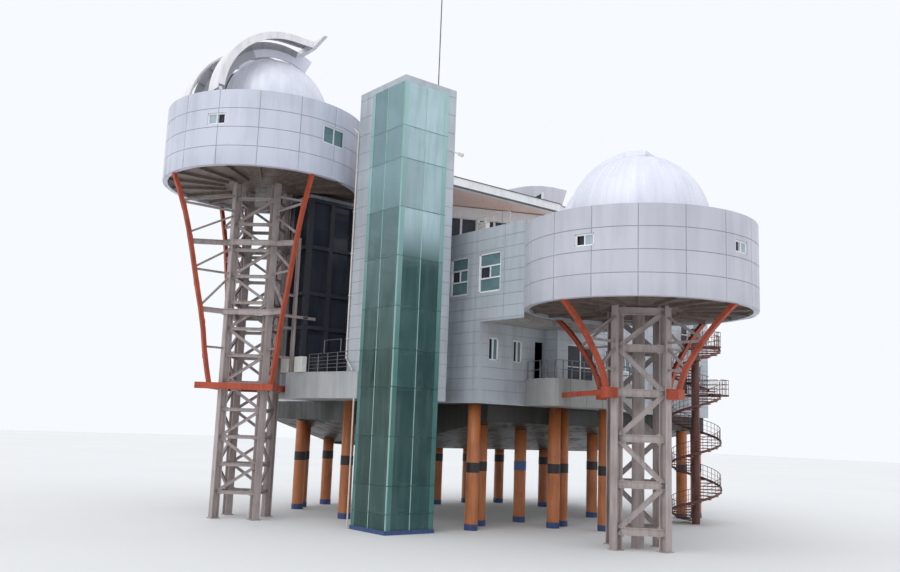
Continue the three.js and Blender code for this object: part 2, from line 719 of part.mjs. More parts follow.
function addTerrace() {
  const corner = [-2198, 4300];
  const bend = [860, 11500];
  const outer = [[-14000, 4300], corner, bend, [860, 16400], [-14000, 16400]];
  const inner = [[-13800, 4500], [-2330, 4500], [660, 11541], [660, 16200], [-13800, 16200]];
  const bottom = ROOF_TOP + GAP;
  const top = CANOPY_BOTTOM - GAP;
  const ring = cut(prism(outer, bottom, top), [prism(inner, bottom - PAST, top + PAST)]);
  const along = new THREE.Vector2(bend[0] - corner[0], bend[1] - corner[1]).normalize();
  const middle = (TERRACE_SILL + TERRACE_HEAD) / 2;
  const openings = [];
  for (const s of [300, 2500, 4700]) {
    const at = (distance) => [corner[0] + along.x * distance, corner[1] + along.y * distance, middle];
    openings.push(bar(at(s), at(s + 2200 - TERRACE_PIER), 900, TERRACE_HEAD - TERRACE_SILL));
  }
  openings.push(box(360, 1160, 13500, 15000, TERRACE_SILL, TERRACE_HEAD));
  for (const y of [6500, 9500, 12500]) {
    openings.push(box(-14500, -13500, y, y + 1500, TERRACE_SILL, TERRACE_HEAD));
  }
  for (const x of [-12000, -9000, -6000]) {
    openings.push(box(x, x + 1500, 15900, 16700, TERRACE_SILL, TERRACE_HEAD));
    openings.push(box(x, x + 1500, 4000, 4800, TERRACE_SILL, TERRACE_HEAD));
  }
  add('terrace_walls', cut(ring, openings), 'cladding');
  add('canopy_roof', prism([
    [1625, CORE_NORTH + GAP], [1625, 10900], [1300, 11500], [1300, 16700],
    [-14250, 16700], [-14250, 4050], [CORE_WEST, 4050], [CORE_WEST, CORE_NORTH + GAP],
  ], CANOPY_BOTTOM, CANOPY_TOP), 'salmon');
}

const VAULT_RADIUS = 13577;
const VAULT_MIDDLE_Y = 15253;
const VAULT_MIDDLE_Z = 9048;
const VAULT_SKIN = 150;

function vaultProfile(radius, foot, shift) {
  const points = [];
  const left = Math.acos((foot - VAULT_MIDDLE_Z) / radius);
  for (let i = 0; i <= 8; i += 1) {
    const lean = left * (1 - i / 8);
    points.push([VAULT_MIDDLE_Y - radius * Math.sin(lean), VAULT_MIDDLE_Z + radius * Math.cos(lean)]);
  }
  points.push([15635 - shift, 22615 - shift]);
  points.push([15075 - shift, 21180]);
  points.push([14650 - shift, foot]);
  return points;
}

function vaultBody(points, x0, x1) {
  return acrossSlit(new THREE.Shape(points.map(([y, z]) => new THREE.Vector2(y, z))), x0, x1);
}

function addVault() {
  const foot = CANOPY_TOP + GAP;
  const outer = vaultProfile(VAULT_RADIUS, foot, 0);
  const inner = vaultProfile(VAULT_RADIUS - VAULT_SKIN, foot - PAST, VAULT_SKIN);
  add('vault_roof', cut(vaultBody(outer, -11500, -2375), [
    vaultBody(inner, -11500 + VAULT_SKIN, -2375 - VAULT_SKIN),
  ]), 'cladding');
}

// Lattice towers, drawn about their own axis with the front face towards -Y

function legCentres() {
  const half = LEG_REACH * Math.SQRT1_2;
  return [[-half, -half], [half, -half], [half, half], [-half, half]];
}

// A leg stands square to the corner plane that its strut is in.
function leg(index, top) {
  const h = LEG_SIZE / 2;
  const geometry = box(LEG_REACH - h, LEG_REACH + h, -h, h, 0, top);
  return geometry.rotateZ(THREE.MathUtils.degToRad(cornerAngle(index)));
}

function faceBracing(a, b, levels, bracing) {
  const bars = [];
  levels.forEach((level, i) => {
    bars.push(bar([...a, level], [...b, level], ...bracing.level));
    if (i + 1 < levels.length) {
      const [from, to] = i % 2 === 0 ? [a, b] : [b, a];
      bars.push(bar([...from, level], [...to, levels[i + 1]], ...bracing.diagonal));
    }
  });
  return bars;
}

// Belt of deep beams round the legs at one level.
function belt(level) {
  const out = BELT_REACH;
  return cut(box(-out, out, -out, out, level - 170, level + 170), [
    box(-out + 120, out - 120, -out + 120, out - 120, level - 200, level + 200),
  ]);
}

// Ties and diagonals between a leg and the curved strut outside it.
function strutWeb(corner, path, ties) {
  const outward = new THREE.Vector2(...corner).normalize();
  const near = (z) => [corner[0], corner[1], z];
  const far = (z) => {
    const r = strutReach(path, z) - 100;
    return [outward.x * r, outward.y * r, z];
  };
  const bars = [];
  ties.forEach(({ leg: legZ, strut: strutZ, deep }) => {
    bars.push(bar(near(legZ), far(strutZ), deep ? 200 : 110, deep ? 300 : 110));
  });
  return bars;
}

function strutReach(path, z) {
  for (let i = 0; i + 1 < path.length; i += 1) {
    const [r0, z0] = path[i];
    const [r1, z1] = path[i + 1];
    if (z <= z1) {
      return r0 + ((r1 - r0) * (z - z0)) / (z1 - z0);
    }
  }
  return path[path.length - 1][0];
}

const LEFT_STRUT = [
  [2620, 7690], [3000, 9300], [3330, 11300], [3880, 13500], [4520, 16200], [5050, 17950], [5800, 19769.7],
];
const RIGHT_STRUT = [
  [2520, 7900], [2950, 8950], [3670, 9960], [4720, 11120], [5720, 11979.7],
];

// A curved strut of box section, standing in the vertical plane through a corner.
function strut(path, width, depth) {
  const curve = new THREE.SplineCurve(path.map(([r, z]) => new THREE.Vector2(r, z)));
  const steps = 10;
  const outer = [];
  const inner = [];
  for (let i = 0; i <= steps; i += 1) {
    const point = curve.getPoint(i / steps);
    const along = curve.getTangent(i / steps);
    const level = i === 0 || i === steps;
    const nx = level ? 1 : along.y;
    const nz = level ? 0 : -along.x;
    const reach = level ? depth / 2 / along.y : depth / 2;
    outer.push([point.x + nx * reach, point.y + nz * reach]);
    inner.push([point.x - nx * reach, point.y - nz * reach]);
  }
  const outline = [...outer, ...inner.reverse()];
  const shape = new THREE.Shape(outline.map(([r, z]) => new THREE.Vector2(r, z)));
  const geometry = new THREE.ExtrudeGeometry(shape, { depth: width, bevelEnabled: false, steps: 1 });
  geometry.translate(0, 0, -width / 2);
  geometry.rotateX(Math.PI / 2);
  return geometry;
}

const LEFT_LEVELS = [
  1500, 3090, 4680, 6270, 7860, 9450, 11040, 12630, 14220, 15820, 17420, 19000,
];
const RIGHT_LEVELS = [920, 3190, 5460, 7730, 10000, 11900];

// Corners of a tower: 0 is front left, 1 front right, 2 rear right, 3 rear left.
function cornerAngle(index) {
  return -135 + 90 * index;
}

function tower(levels, bracing, top, struts, path, ties) {
  const corners = legCentres();
  const pieces = corners.map((corner, index) => leg(index, top));
  for (let i = 0; i < 4; i += 1) {
    pieces.push(...faceBracing(corners[i], corners[(i + 1) % 4], levels, bracing));
  }
  for (const index of struts) {
    pieces.push(...strutWeb(corners[index], path, ties));
  }
  return pieces;
}

const LEFT_TIES = [
  { leg: 9850, strut: 9850 },
  { leg: 12030, strut: 12030, deep: true },
  { leg: 14300, strut: 12300 },
  { leg: 14350, strut: 14350 },
  { leg: 16000, strut: 14500 },
  { leg: 16250, strut: 15950, deep: true },
  { leg: 18000, strut: 16500 },
  { leg: 18200, strut: 18200 },
  { leg: 19200, strut: 18300 },
];

const RIGHT_TIES = [
  { leg: 8900, strut: 8900 },
  { leg: 10300, strut: 10300 },
  { leg: 10200, strut: 9000 },
  { leg: 11700, strut: 10400 },
];

const STRUT_WIDTH = 220;
const STRUT_DEPTH = 230;
const RING_REACH = 2640;
const RING_WIDTH = 300;
const RING_OVERRUN = 650;
const RING_BOTTOM = 7420;
const RING_TOP = 7790;
const FOOT_END = 2680;
const PIER_RADIUS = 320;

// A strut in its own corner plane, grown by a margin where it is used as a cutter.
function leaningStrut(path, index, margin) {
  const geometry = strut(path, STRUT_WIDTH + 2 * margin, STRUT_DEPTH + 2 * margin);
  geometry.rotateZ(THREE.MathUtils.degToRad(cornerAngle(index)));
  return geometry;
}

// A box that reaches from a leg outwards to the foot of its strut.
function bracket(index, end, width, bottom, top) {
  const geometry = box(LEG_REACH + LEG_SIZE / 2 + GAP, end, -width / 2, width / 2, bottom, top);
  return geometry.rotateZ(THREE.MathUtils.degToRad(cornerAngle(index)));
}

// The front beam of the ring runs on past its corner.
function ringBeam() {
  const outer = RING_REACH * Math.SQRT1_2 + RING_WIDTH / 2;
  const inner = outer - RING_WIDTH;
  const ring = cut(box(-outer, outer, -outer, outer, RING_BOTTOM, RING_TOP), [
    box(-inner, inner, -inner, inner, RING_BOTTOM - PAST, RING_TOP + PAST),
  ]);
  return joined([ring, box(-outer - RING_OVERRUN, -inner, -outer, -inner, RING_BOTTOM, RING_TOP)]);
}

// Ring beam and three struts; the ring is cut off where the deck stands.
function leftOrangeFrame() {
  const struts = [0, 1, 3];
  const pieces = [ringBeam()];
  for (const index of struts) {
    pieces.push(leaningStrut(LEFT_STRUT, index, 0));
    pieces.push(bracket(index, RING_REACH, 260, RING_BOTTOM + 40, RING_TOP - 40));
  }
  const frame = placed(joined(pieces), LEFT_X, LEFT_Y, 0, TOWER_TURN);
  const deck = prism(leftBalconyPlan(), DECK_BOTTOM, DECK_FLOOR);
  deck.translate(0, -2 * GAP, 0);
  const behind = box(HALL_WEST, HALL_EAST, HALL_SOUTH + PAST, FRONT, DECK_BOTTOM, DECK_FLOOR);
  return cut(frame, [deck, behind]);
}

function addLeftTower() {
  const top = LEFT_BASE + SOFFIT_RECESS - GAP;
  const struts = [0, 1, 3];
  const pieces = tower(LEFT_LEVELS, LEFT_BRACING, top, struts, LEFT_STRUT, LEFT_TIES);
  pieces.push(belt(12030), belt(16250));
  const lattice = cut(joined(pieces), struts.map((index) => leaningStrut(LEFT_STRUT, index, GAP)));
  add('left_tower', placed(lattice, LEFT_X, LEFT_Y, 0, TOWER_TURN), 'steel');
  add('left_orange_frame', leftOrangeFrame(), 'orange');
}

// Lattice with a round pier in the middle, tied to the legs at one level.
function rightLattice() {
  const top = RIGHT_BASE + SOFFIT_RECESS - GAP;
  const corners = legCentres();
  const pieces = tower(RIGHT_LEVELS, RIGHT_BRACING, top, [0, 1, 2, 3], RIGHT_STRUT, RIGHT_TIES);
  pieces.push(cylinder(0, 0, PIER_RADIUS, 0, top, 12));
  const level = RIGHT_LEVELS[3];
  pieces.push(bar([...corners[0], level], [...corners[2], level], ...RIGHT_BRACING.diagonal));
  pieces.push(bar([...corners[1], level], [...corners[3], level], ...RIGHT_BRACING.diagonal));
  return cut(joined(pieces), [0, 1, 2, 3].map((index) => leaningStrut(RIGHT_STRUT, index, GAP)));
}

// Tie beam from the front left strut foot back to the balcony.
function tieBeam() {
  const start = THREE.MathUtils.degToRad(cornerAngle(0) + TOWER_TURN);
  const from = [RIGHT_X + FOOT_END * Math.cos(start), RIGHT_Y + FOOT_END * Math.sin(start), 7690];
  const beam = bar(from, [BALCONY_EAST - 400, 7300, 7690], 200, 260);
  const edge = prism([...balconyEdge(-2 * GAP), [NICHE_EAST, BALCONY_NORTH]], DECK_BOTTOM, DECK_FLOOR);
  return cut(beam, [edge]);
}

function addRightTower() {
  add('right_tower', placed(rightLattice(), RIGHT_X, RIGHT_Y, 0, TOWER_TURN), 'steel');
  const names = ['front_left', 'front_right', 'rear_right', 'rear_left'];
  names.forEach((name, index) => {
    const foot = bracket(index, FOOT_END, 480, 7440, 7960);
    const piece = placed(joined([leaningStrut(RIGHT_STRUT, index, 0), foot]), RIGHT_X, RIGHT_Y, 0, TOWER_TURN);
    add(`right_strut_${name}`, index === 0 ? joined([piece, tieBeam()]) : piece, 'orange');
  });
}

// Drums

const RIB_COUNT = 18;
const LEG_CLEAR = 2350;

function drumFloor(x, y, base) {
  const radius = DRUM_RADIUS - DRUM_WALL - GAP;
  const bottom = base + SOFFIT_RECESS;
  const pieces = [cylinder(x, y, radius, bottom, bottom + SLAB, DRUM_SIDES)];
  for (let i = 0; i < RIB_COUNT; i += 1) {
    const angle = ((i + 0.5) * Math.PI * 2) / RIB_COUNT;
    const at = (r) => [x + r * Math.cos(angle), y + r * Math.sin(angle), bottom - 70];
    pieces.push(bar(at(LEG_CLEAR), at(radius - 40), 120, 180));
  }
  return joined(pieces);
}

// Roof of a drum with the kerb that the dome turns on.
function drumRoof(x, y, base) {
  const top = base + DRUM_HEIGHT - 150;
  const outer = DRUM_RADIUS - DRUM_WALL - GAP;
  const hole = DOME_RADIUS - 250;
  const kerbTop = base + DRUM_HEIGHT + KERB_RISE;
  return cut(joined([
    cylinder(x, y, outer, top - 250, top, DRUM_SIDES),
    cylinder(x, y, DOME_RADIUS + 30, top - 100, kerbTop, DRUM_SIDES),
  ]), [cylinder(x, y, hole, top - 500, kerbTop + 100, DRUM_SIDES)]);
}

const SEGMENTS = 3;

// One third of a drum wall, with its window openings as [middle angle, width, sill, height].
function drumSegment(x, y, base, index, first, openings) {
  const span = 360 / SEGMENTS;
  const from = first + span * index;
  const trim = THREE.MathUtils.radToDeg(GAP / DRUM_RADIUS);
  const steps = DRUM_SIDES / SEGMENTS;
  const plan = [
    ...arcPoints(x, y, DRUM_RADIUS, from, from + span - trim, steps),
    ...arcPoints(x, y, DRUM_RADIUS - DRUM_WALL, from + span - trim, from, steps),
  ];
  const cutters = [];
  for (const [angle, width, sill, height] of openings) {
    const local = (((angle - from) % 360) + 360) % 360;
    if (local < span) {
      const hole = box(
        DRUM_RADIUS - DRUM_WALL - 300, DRUM_RADIUS + 300, -width / 2, width / 2,
        base + sill, base + sill + height,
      );
      hole.rotateZ(THREE.MathUtils.degToRad(angle));
      hole.translate(x, y, 0);
      cutters.push(hole);
    }
  }
  return cut(prism(plan, base, base + DRUM_HEIGHT), cutters);
}

const LEFT_OPENINGS = [
  [-55, 1130, 2360, 670], [13.6, 1760, 2004, 1090], [125, 1130, 2360, 670], [193.6, 1760, 2004, 1090],
];
const RIGHT_OPENINGS = [
  [-75.8, 1030, 2460, 610], [3.1, 1030, 2460, 610], [104.2, 1030, 2460, 610], [180, 1100, 500, 2200],
];

function addDrum(side, x, y, base, first, openings) {
  for (let i = 0; i < SEGMENTS; i += 1) {
    add(`${side}_drum_wall_${i + 1}`, drumSegment(x, y, base, i, first, openings), 'cladding');
  }
  add(`${side}_drum_floor`, drumFloor(x, y, base), 'soffit');
  add(`${side}_drum_roof`, drumRoof(x, y, base), 'cladding');
}

// Domes, drawn about their own centre with the slit towards -Y

const DOME_SEGMENTS = 48;
const DOME_RINGS = 8;
const ARCH_STEP = 7;

// Extrudes a shape drawn in the plane across the slit, y outwards and z up.
function acrossSlit(shape, x0, x1) {
  const geometry = new THREE.ExtrudeGeometry(shape, { depth: x1 - x0, bevelEnabled: false, steps: 1 });
  const place = new THREE.Matrix4().makeBasis(
    new THREE.Vector3(0, 1, 0), new THREE.Vector3(0, 0, 1), new THREE.Vector3(1, 0, 0),
  );
  place.setPosition(x0, 0, 0);
  return geometry.applyMatrix4(place);
}

// Solid round body with a domed top, about the dome's own centre.
function domeSolid(radius, foot) {
  const profile = [new THREE.Vector2(0, foot), new THREE.Vector2(radius, foot)];
  for (let i = 0; i < DOME_RINGS; i += 1) {
    const lift = (Math.PI / 2) * (i / DOME_RINGS);
    profile.push(new THREE.Vector2(radius * Math.cos(lift), radius * Math.sin(lift)));
  }
  profile.push(new THREE.Vector2(0, radius));
  const geometry = new THREE.LatheGeometry(profile, DOME_SEGMENTS);
  geometry.rotateX(Math.PI / 2);
  return geometry;
}

// An arched plate in the plane across the slit, between two radii and two elevations,
// with a straight tail behind the zenith where one is given.
function archPlate(inner, outer, from, to, tail, x0, x1) {
  const steps = Math.round((to - from) / ARCH_STEP);
  const points = [];
  const reverse = [];
  for (let i = 0; i <= steps; i += 1) {
    const angle = THREE.MathUtils.degToRad(from + ((to - from) * i) / steps);
    points.push([-outer * Math.cos(angle), outer * Math.sin(angle)]);
    reverse.push([-inner * Math.cos(angle), inner * Math.sin(angle)]);
  }
  if (tail > 0) {
    points.push([tail, outer]);
    reverse.push([tail, inner]);
  }
  const outline = [...reverse, ...points.reverse()];
  const shape = new THREE.Shape(outline.map(([y, z]) => new THREE.Vector2(y, z)));
  return acrossSlit(shape, x0, x1);
}

const SLIT_FOOT = 6;
const SLIT_END = 111;
const ARCH_INNER = 1110;
const ARCH_OUTER = 1200;
const ARCH_RADIUS = 4600;
const ARCH_END = 118;
const RAIL_BOTTOM = 4420;
const RAIL_REACH = 2700;
const RAIL_REAR = 1300;
const RAIL_WIDTH = 250;
const RAIL_END = 4450;
const RAIL_TIP = 120;
const TAIL_PLATE = 1560;
const TAIL_END = 1610;
const SKIRT_FOOT = 20;
const CAP_RADIUS = 550;

// Hollow dome with a drum-shaped foot that ends just above the kerb.
function domeShell(seat) {
  return cut(domeSolid(DOME_RADIUS, seat), [domeSolid(DOME_RADIUS - DOME_SKIN, seat - PAST)]);
}

function seatBelow(centreZ, base) {
  return base + DRUM_HEIGHT + KERB_RISE + GAP - centreZ;
}

// Rail behind the slit, tapered towards its two ends.
function rearRail(top) {
  const foot = RAIL_BOTTOM - 150;
  const outline = [
    [-RAIL_END, top], [-RAIL_END, top - RAIL_TIP], [-RAIL_REACH, foot],
    [RAIL_REACH, foot], [RAIL_END, top - RAIL_TIP], [RAIL_END, top],
  ];
  return alongY(outline, RAIL_REAR, RAIL_REAR + RAIL_WIDTH);
}

// Two arches beside the slit and the cross rails that carry the shutters.
function slitFrame() {
  const under = SHUTTER_RADIUS - SHUTTER_SKIN - GAP;
  const body = joined([
    archPlate(3200, ARCH_RADIUS, SLIT_FOOT, ARCH_END, 0, ARCH_INNER, ARCH_OUTER),
    archPlate(3200, ARCH_RADIUS, SLIT_FOOT, ARCH_END, 0, -ARCH_OUTER, -ARCH_INNER),
    archPlate(RAIL_BOTTOM, under, SLIT_FOOT, SLIT_FOOT + ARCH_STEP, 0, -RAIL_REACH, RAIL_REACH),
    rearRail(under),
  ]);
  return cut(body, [domeSolid(DOME_RADIUS + GAP, -1000)]);
}

// Half of the shutter on the +X side, in its open place.
function shutterHalf() {
  const inner = SHUTTER_RADIUS - SHUTTER_SKIN;
  const low = SHUTTER_RADIUS - SHUTTER_SKIRT;
  const [x0, x1] = [SHUTTER_INNER_EDGE, SHUTTER_OUTER_EDGE];
  return joined([
    archPlate(inner, SHUTTER_RADIUS, SLIT_FOOT, 90, TAIL_END, x0, x1),
    archPlate(low, SHUTTER_RADIUS, SKIRT_FOOT, 90, RAIL_REAR - 10, x1 - SHUTTER_SKIN, x1),
    box(x0, x1, TAIL_PLATE, TAIL_END, 4420, inner + 10),
  ]);
}

function mirrored(geometry) {
  const copy = geometry.clone();
  const position = copy.attributes.position;
  for (let i = 0; i < position.count; i += 1) {
    position.setX(i, -position.getX(i));
  }
  const order = copy.index.array;
  for (let i = 0; i < order.length; i += 3) {
    [order[i], order[i + 1]] = [order[i + 1], order[i]];
  }
  copy.computeVertexNormals();
  return copy;
}

function addLeftDome() {
  const put = (geometry) => placed(geometry, LEFT_X, LEFT_Y, LEFT_DOME_Z, 0);
  const slit = archPlate(3200, 4200, SLIT_FOOT, SLIT_END, 0, -SLIT_HALF, SLIT_HALF);
  const shell = cut(domeShell(seatBelow(LEFT_DOME_Z, LEFT_BASE)), [slit]);
  const half = shutterHalf();
  add('left_dome_shell', put(shell), 'dome');
  add('left_slit_frame', put(slitFrame()), 'steel');
  add('near_shutter', put(half), 'dome');
  add('far_shutter', put(mirrored(half)), 'dome');
}

const CLOSED_TURN = 285;
const CLOSED_RADIUS = 3800;
const CLOSED_HALF = 1200;
const HOOD_RADIUS = 4070;

// Closed shutter of the right dome: a curved cover with a stepped hood over its foot.
function closedShutter() {
  const cover = archPlate(3200, CLOSED_RADIUS, 6, 104, 0, -CLOSED_HALF, CLOSED_HALF);
  const shape = new THREE.Shape([
    [-3300, 250], [-HOOD_RADIUS, 250], [-HOOD_RADIUS, 1010], [-3900, 1050], [-3450, 1750], [-3200, 1600],
  ].map(([y, z]) => new THREE.Vector2(y, z)));
  const hood = acrossSlit(shape, -CLOSED_HALF, CLOSED_HALF);
  const inside = new THREE.Shape([
    [-3300, 150], [-HOOD_RADIUS + 90, 150], [-HOOD_RADIUS + 90, 900], [-3700, 1000],
    [-3450, 1350], [-3200, 1400],
  ].map(([y, z]) => new THREE.Vector2(y, z)));
  const hollow = acrossSlit(inside, -CLOSED_HALF + 90, CLOSED_HALF - 90);
  return cut(joined([cover, hood]), [hollow, domeSolid(DOME_RADIUS + GAP, -1000)]);
}

function addRightDome() {
  const shell = joined([
    domeShell(seatBelow(RIGHT_DOME_Z, RIGHT_BASE)),
    cylinder(0, 0, CAP_RADIUS, DOME_RADIUS - 70, DOME_RADIUS + 25, 24),
  ]);
  const put = (geometry, turn) => placed(geometry, RIGHT_X, RIGHT_Y, RIGHT_DOME_Z, turn);
  add('right_dome_shell', put(shell, 0), 'dome');
  const cap = cylinder(0, 0, CAP_RADIUS + GAP, 3000, 4000, 24);
  add('right_dome_shutter', put(cut(closedShutter(), [cap]), CLOSED_TURN), 'steel');
}

// Railings

// Posts and rails along a path at one floor level.
function railing(path, floor, height, rails) {
  const pieces = [];
  for (let i = 0; i + 1 < path.length; i += 1) {
    const a = path[i];
    const b = path[i + 1];
    for (let k = 1; k <= rails; k += 1) {
      const z = floor + (height * k) / rails - RAIL_BAR / 2;
      pieces.push(bar([a[0], a[1], z], [b[0], b[1], z], RAIL_BAR, RAIL_BAR));
    }
    const length = Math.hypot(b[0] - a[0], b[1] - a[1]);
    const count = Math.max(1, Math.round(length / POST_SPACING));
    for (let k = i === 0 ? 0 : 1; k <= count; k += 1) {
      const x = a[0] + ((b[0] - a[0]) * k) / count;
      const y = a[1] + ((b[1] - a[1]) * k) / count;
      const h = POST / 2;
      pieces.push(box(x - h, x + h, y - h, y + h, floor + GAP, floor + height));
    }
  }
  return joined(pieces);
}

const RAIL_BAR = 36;
const POST = 50;
const POST_SPACING = 1100;

function addRailings() {
  const front = leftBalconyFront(BALCONY_END[0] - 120, 35);
  add('left_railing', railing([front, leftBalconyFront(-4850, 35)], DECK_FLOOR, 1050, 5), 'steel');
  const edge = balconyEdge(110);
  const path = [edge[2], edge[4], edge[6], edge[8], edge[10], edge[12], [BALCONY_EAST - 110, BALCONY_NORTH - 110]];
  path.push([EAST + 120, BALCONY_NORTH - 110]);
  path.unshift([NICHE_EAST + 120, BALCONY_START + 90]);
  add('right_railing', railing(path, DECK_FLOOR, 1050, 2), 'steel');
}

// Spiral stair behind the block, with landings at the two floors

const STAIR_X = 3773;
const STAIR_Y = 22005;
const STAIR_POLE = 270;
const STAIR_RADIUS = 1690;
const STAIR_TURN_RISE = 3068;
const STEPS_PER_TURN = 16;
const STAIR_START = 137;
const STAIR_STEPS = 62;
const TREAD = 60;
const HANDRAIL = 1000;
const RAIL_RADIUS = 1600;
const LANDING_WIDTH = 900;
const LANDING_SEAT = 60;
const RAIL_RUNS = [[0, 44], [46, 61]];

function stairPoint(step, radius, lift) {
  const angle = THREE.MathUtils.degToRad(STAIR_START + (360 * step) / STEPS_PER_TURN);
  const z = (STAIR_TURN_RISE * step) / STEPS_PER_TURN + lift;
  return [STAIR_X + radius * Math.cos(angle), STAIR_Y + radius * Math.sin(angle), z];
}

function spiralStair() {
  const top = UPPER_FLOOR + HANDRAIL;
  const pieces = [cylinder(STAIR_X, STAIR_Y, STAIR_POLE, 0, top, 8)];
  for (const [first, last] of RAIL_RUNS) {
    pieces.push(handrail(first, last));
  }
  const sweep = 360 / STEPS_PER_TURN;
  for (let i = 1; i <= STAIR_STEPS; i += 1) {
    const from = STAIR_START + sweep * (i - 1);
    const z = (STAIR_TURN_RISE * i) / STEPS_PER_TURN;
    const plan = [[STAIR_X, STAIR_Y], ...arcPoints(STAIR_X, STAIR_Y, STAIR_RADIUS, from, from + sweep, 1)];
    pieces.push(prism(plan, z - TREAD, z));
    if (i % 2 === 1 && RAIL_RUNS.some(([first, last]) => i > first && i <= last)) {
      const [x, y] = stairPoint(i - 0.5, RAIL_RADIUS, 0);
      pieces.push(box(x - 18, x + 18, y - 18, y + 18, z - TREAD / 2, z + HANDRAIL - 90));
    }
  }
  for (const level of [DECK_FLOOR, UPPER_FLOOR]) {
    pieces.push(landing(level));
  }
  return joined(pieces);
}

// A floor from the door to the tread that comes level with it, let in under that tread's outer edge.
function landing(level) {
  const tread = Math.min(STAIR_STEPS, Math.round((level * STEPS_PER_TURN) / STAIR_TURN_RISE));
  const [ax, ay] = stairPoint(tread - 1, STAIR_RADIUS, 0);
  const [bx, by] = stairPoint(tread, STAIR_RADIUS, 0);
  const wallSide = RECESS_EAST + GAP;
  const back = STAIR_DOOR + LANDING_WIDTH;
  const plan = [
    [wallSide, STAIR_DOOR], [bx, STAIR_DOOR], [bx, by - LANDING_SEAT],
    [ax, ay - LANDING_SEAT], [ax, back], [wallSide, back],
  ];
  return prism(plan, level - 120, level);
}

// The rail breaks where the treads meet the landings.
function handrail(first, last) {
  const points = [];
  for (let i = first; i <= last; i += 1) {
    points.push(new THREE.Vector3(...stairPoint(i, RAIL_RADIUS, HANDRAIL)));
  }
  const h = 24;
  const section = new THREE.Shape([[-h, -h], [h, -h], [h, h], [-h, h]].map(([x, y]) => new THREE.Vector2(x, y)));
  const path = new THREE.CatmullRomCurve3(points);
  return new THREE.ExtrudeGeometry(section, { steps: last - first, extrudePath: path, bevelEnabled: false });
}

addShaft();
addCore();
addLink();
addFloors();
addFrontWall();
addNicheWall();
addEastWall();
addStairCornerWall();
addNorthWall();
addWestWall();
addSouthwestWall();
addBridgeWall();
addLeftBalcony();
addRightBalcony();
addRailings();
addHall();
addTerrace();
addVault();
addLeftTower();
addRightTower();
addDrum('left', LEFT_X, LEFT_Y, LEFT_BASE, -100, LEFT_OPENINGS);
addDrum('right', RIGHT_X, RIGHT_Y, RIGHT_BASE, -20, RIGHT_OPENINGS);
addLeftDome();
addRightDome();
add('spiral_stair', spiralStair(), 'stair');

export default building;
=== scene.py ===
import json
import math

import bpy
from mathutils import Matrix, Vector

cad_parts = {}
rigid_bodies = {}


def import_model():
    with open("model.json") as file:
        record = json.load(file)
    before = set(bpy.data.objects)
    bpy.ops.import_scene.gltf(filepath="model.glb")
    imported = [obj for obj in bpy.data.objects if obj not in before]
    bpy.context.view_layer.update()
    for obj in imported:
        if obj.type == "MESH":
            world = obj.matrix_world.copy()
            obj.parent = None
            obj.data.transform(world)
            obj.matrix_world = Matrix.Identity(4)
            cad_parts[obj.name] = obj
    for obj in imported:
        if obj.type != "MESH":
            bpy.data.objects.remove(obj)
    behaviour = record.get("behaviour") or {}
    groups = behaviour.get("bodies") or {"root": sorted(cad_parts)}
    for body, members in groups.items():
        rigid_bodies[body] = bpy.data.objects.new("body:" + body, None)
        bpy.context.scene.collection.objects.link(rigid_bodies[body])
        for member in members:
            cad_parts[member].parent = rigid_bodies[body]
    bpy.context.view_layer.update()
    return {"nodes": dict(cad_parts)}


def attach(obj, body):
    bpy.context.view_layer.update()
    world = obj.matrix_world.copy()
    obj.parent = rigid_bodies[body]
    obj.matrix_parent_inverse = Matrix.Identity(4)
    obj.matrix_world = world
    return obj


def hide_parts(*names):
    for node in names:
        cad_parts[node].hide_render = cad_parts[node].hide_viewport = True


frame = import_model()
nodes = frame["nodes"]

# Sizes of the building, in metres

DECK_FLOOR = 8.62
UPPER_FLOOR = 11.98
DOOR_HEIGHT = 2.2
WALL_TOP = 17.07
WALL = 0.25
FRONT = 3.765
NICHE_EAST = 2.465
NICHE_NORTH = 9.075
EAST = 3.415
EAST_WALL_SOUTH = 9.3253
RECESS_EAST = 1.325
RECESS_SOUTH = 17.425
NORTH = 26.9
WEST = -16.9
SOUTHWEST = 1.125
HALL_EAST = -6.975
BRIDGE_NORTH = 11.585
WINDOW_LEVELS = {"tall": (13.32, 15.62), "low": (9.56, 10.87)}
LEFT_DRUM = Vector((-9.075, -4.505, 19.77))
RIGHT_DRUM = Vector((10.675, 7.675, 11.98))
DRUM_RADIUS = 6.04
PANEL_ROW = 1.1
BOARD = 0.66
LEFT_PANELS = 16
LEFT_JOINT = -31.3
RIGHT_PANELS = 17
RIGHT_JOINT = -50.9
DOME_RADIUS = 3.72
LEFT_CENTRE = LEFT_DRUM + Vector((0, 0, 4.75))
RIGHT_CENTRE = RIGHT_DRUM + Vector((0, 0, 4.69))
TRANSOMS = [1.05, 2.5, 5.08, 7.71, 9.76, 12.09, 14.87, 17.62, 20.41, 22.29]

# Ways along a wall, with its outer face on the right

SOUTH_SIDE = (1, 0, 0)
EAST_SIDE = (0, 1, 0)
NORTH_SIDE = (-1, 0, 0)
WEST_SIDE = (0, -1, 0)


# Selecting and shaping

def clear_selection():
    for piece in bpy.context.view_layer.objects:
        piece.select_set(False)


def activate(piece):
    clear_selection()
    piece.select_set(True)
    bpy.context.view_layer.objects.active = piece


def settle():
    """Carries the place, turn and scale of the newest piece into its mesh."""
    piece = bpy.context.active_object
    activate(piece)
    bpy.ops.object.transform_apply(location=True, rotation=True, scale=True)
    return piece


def everything(item):
    return True


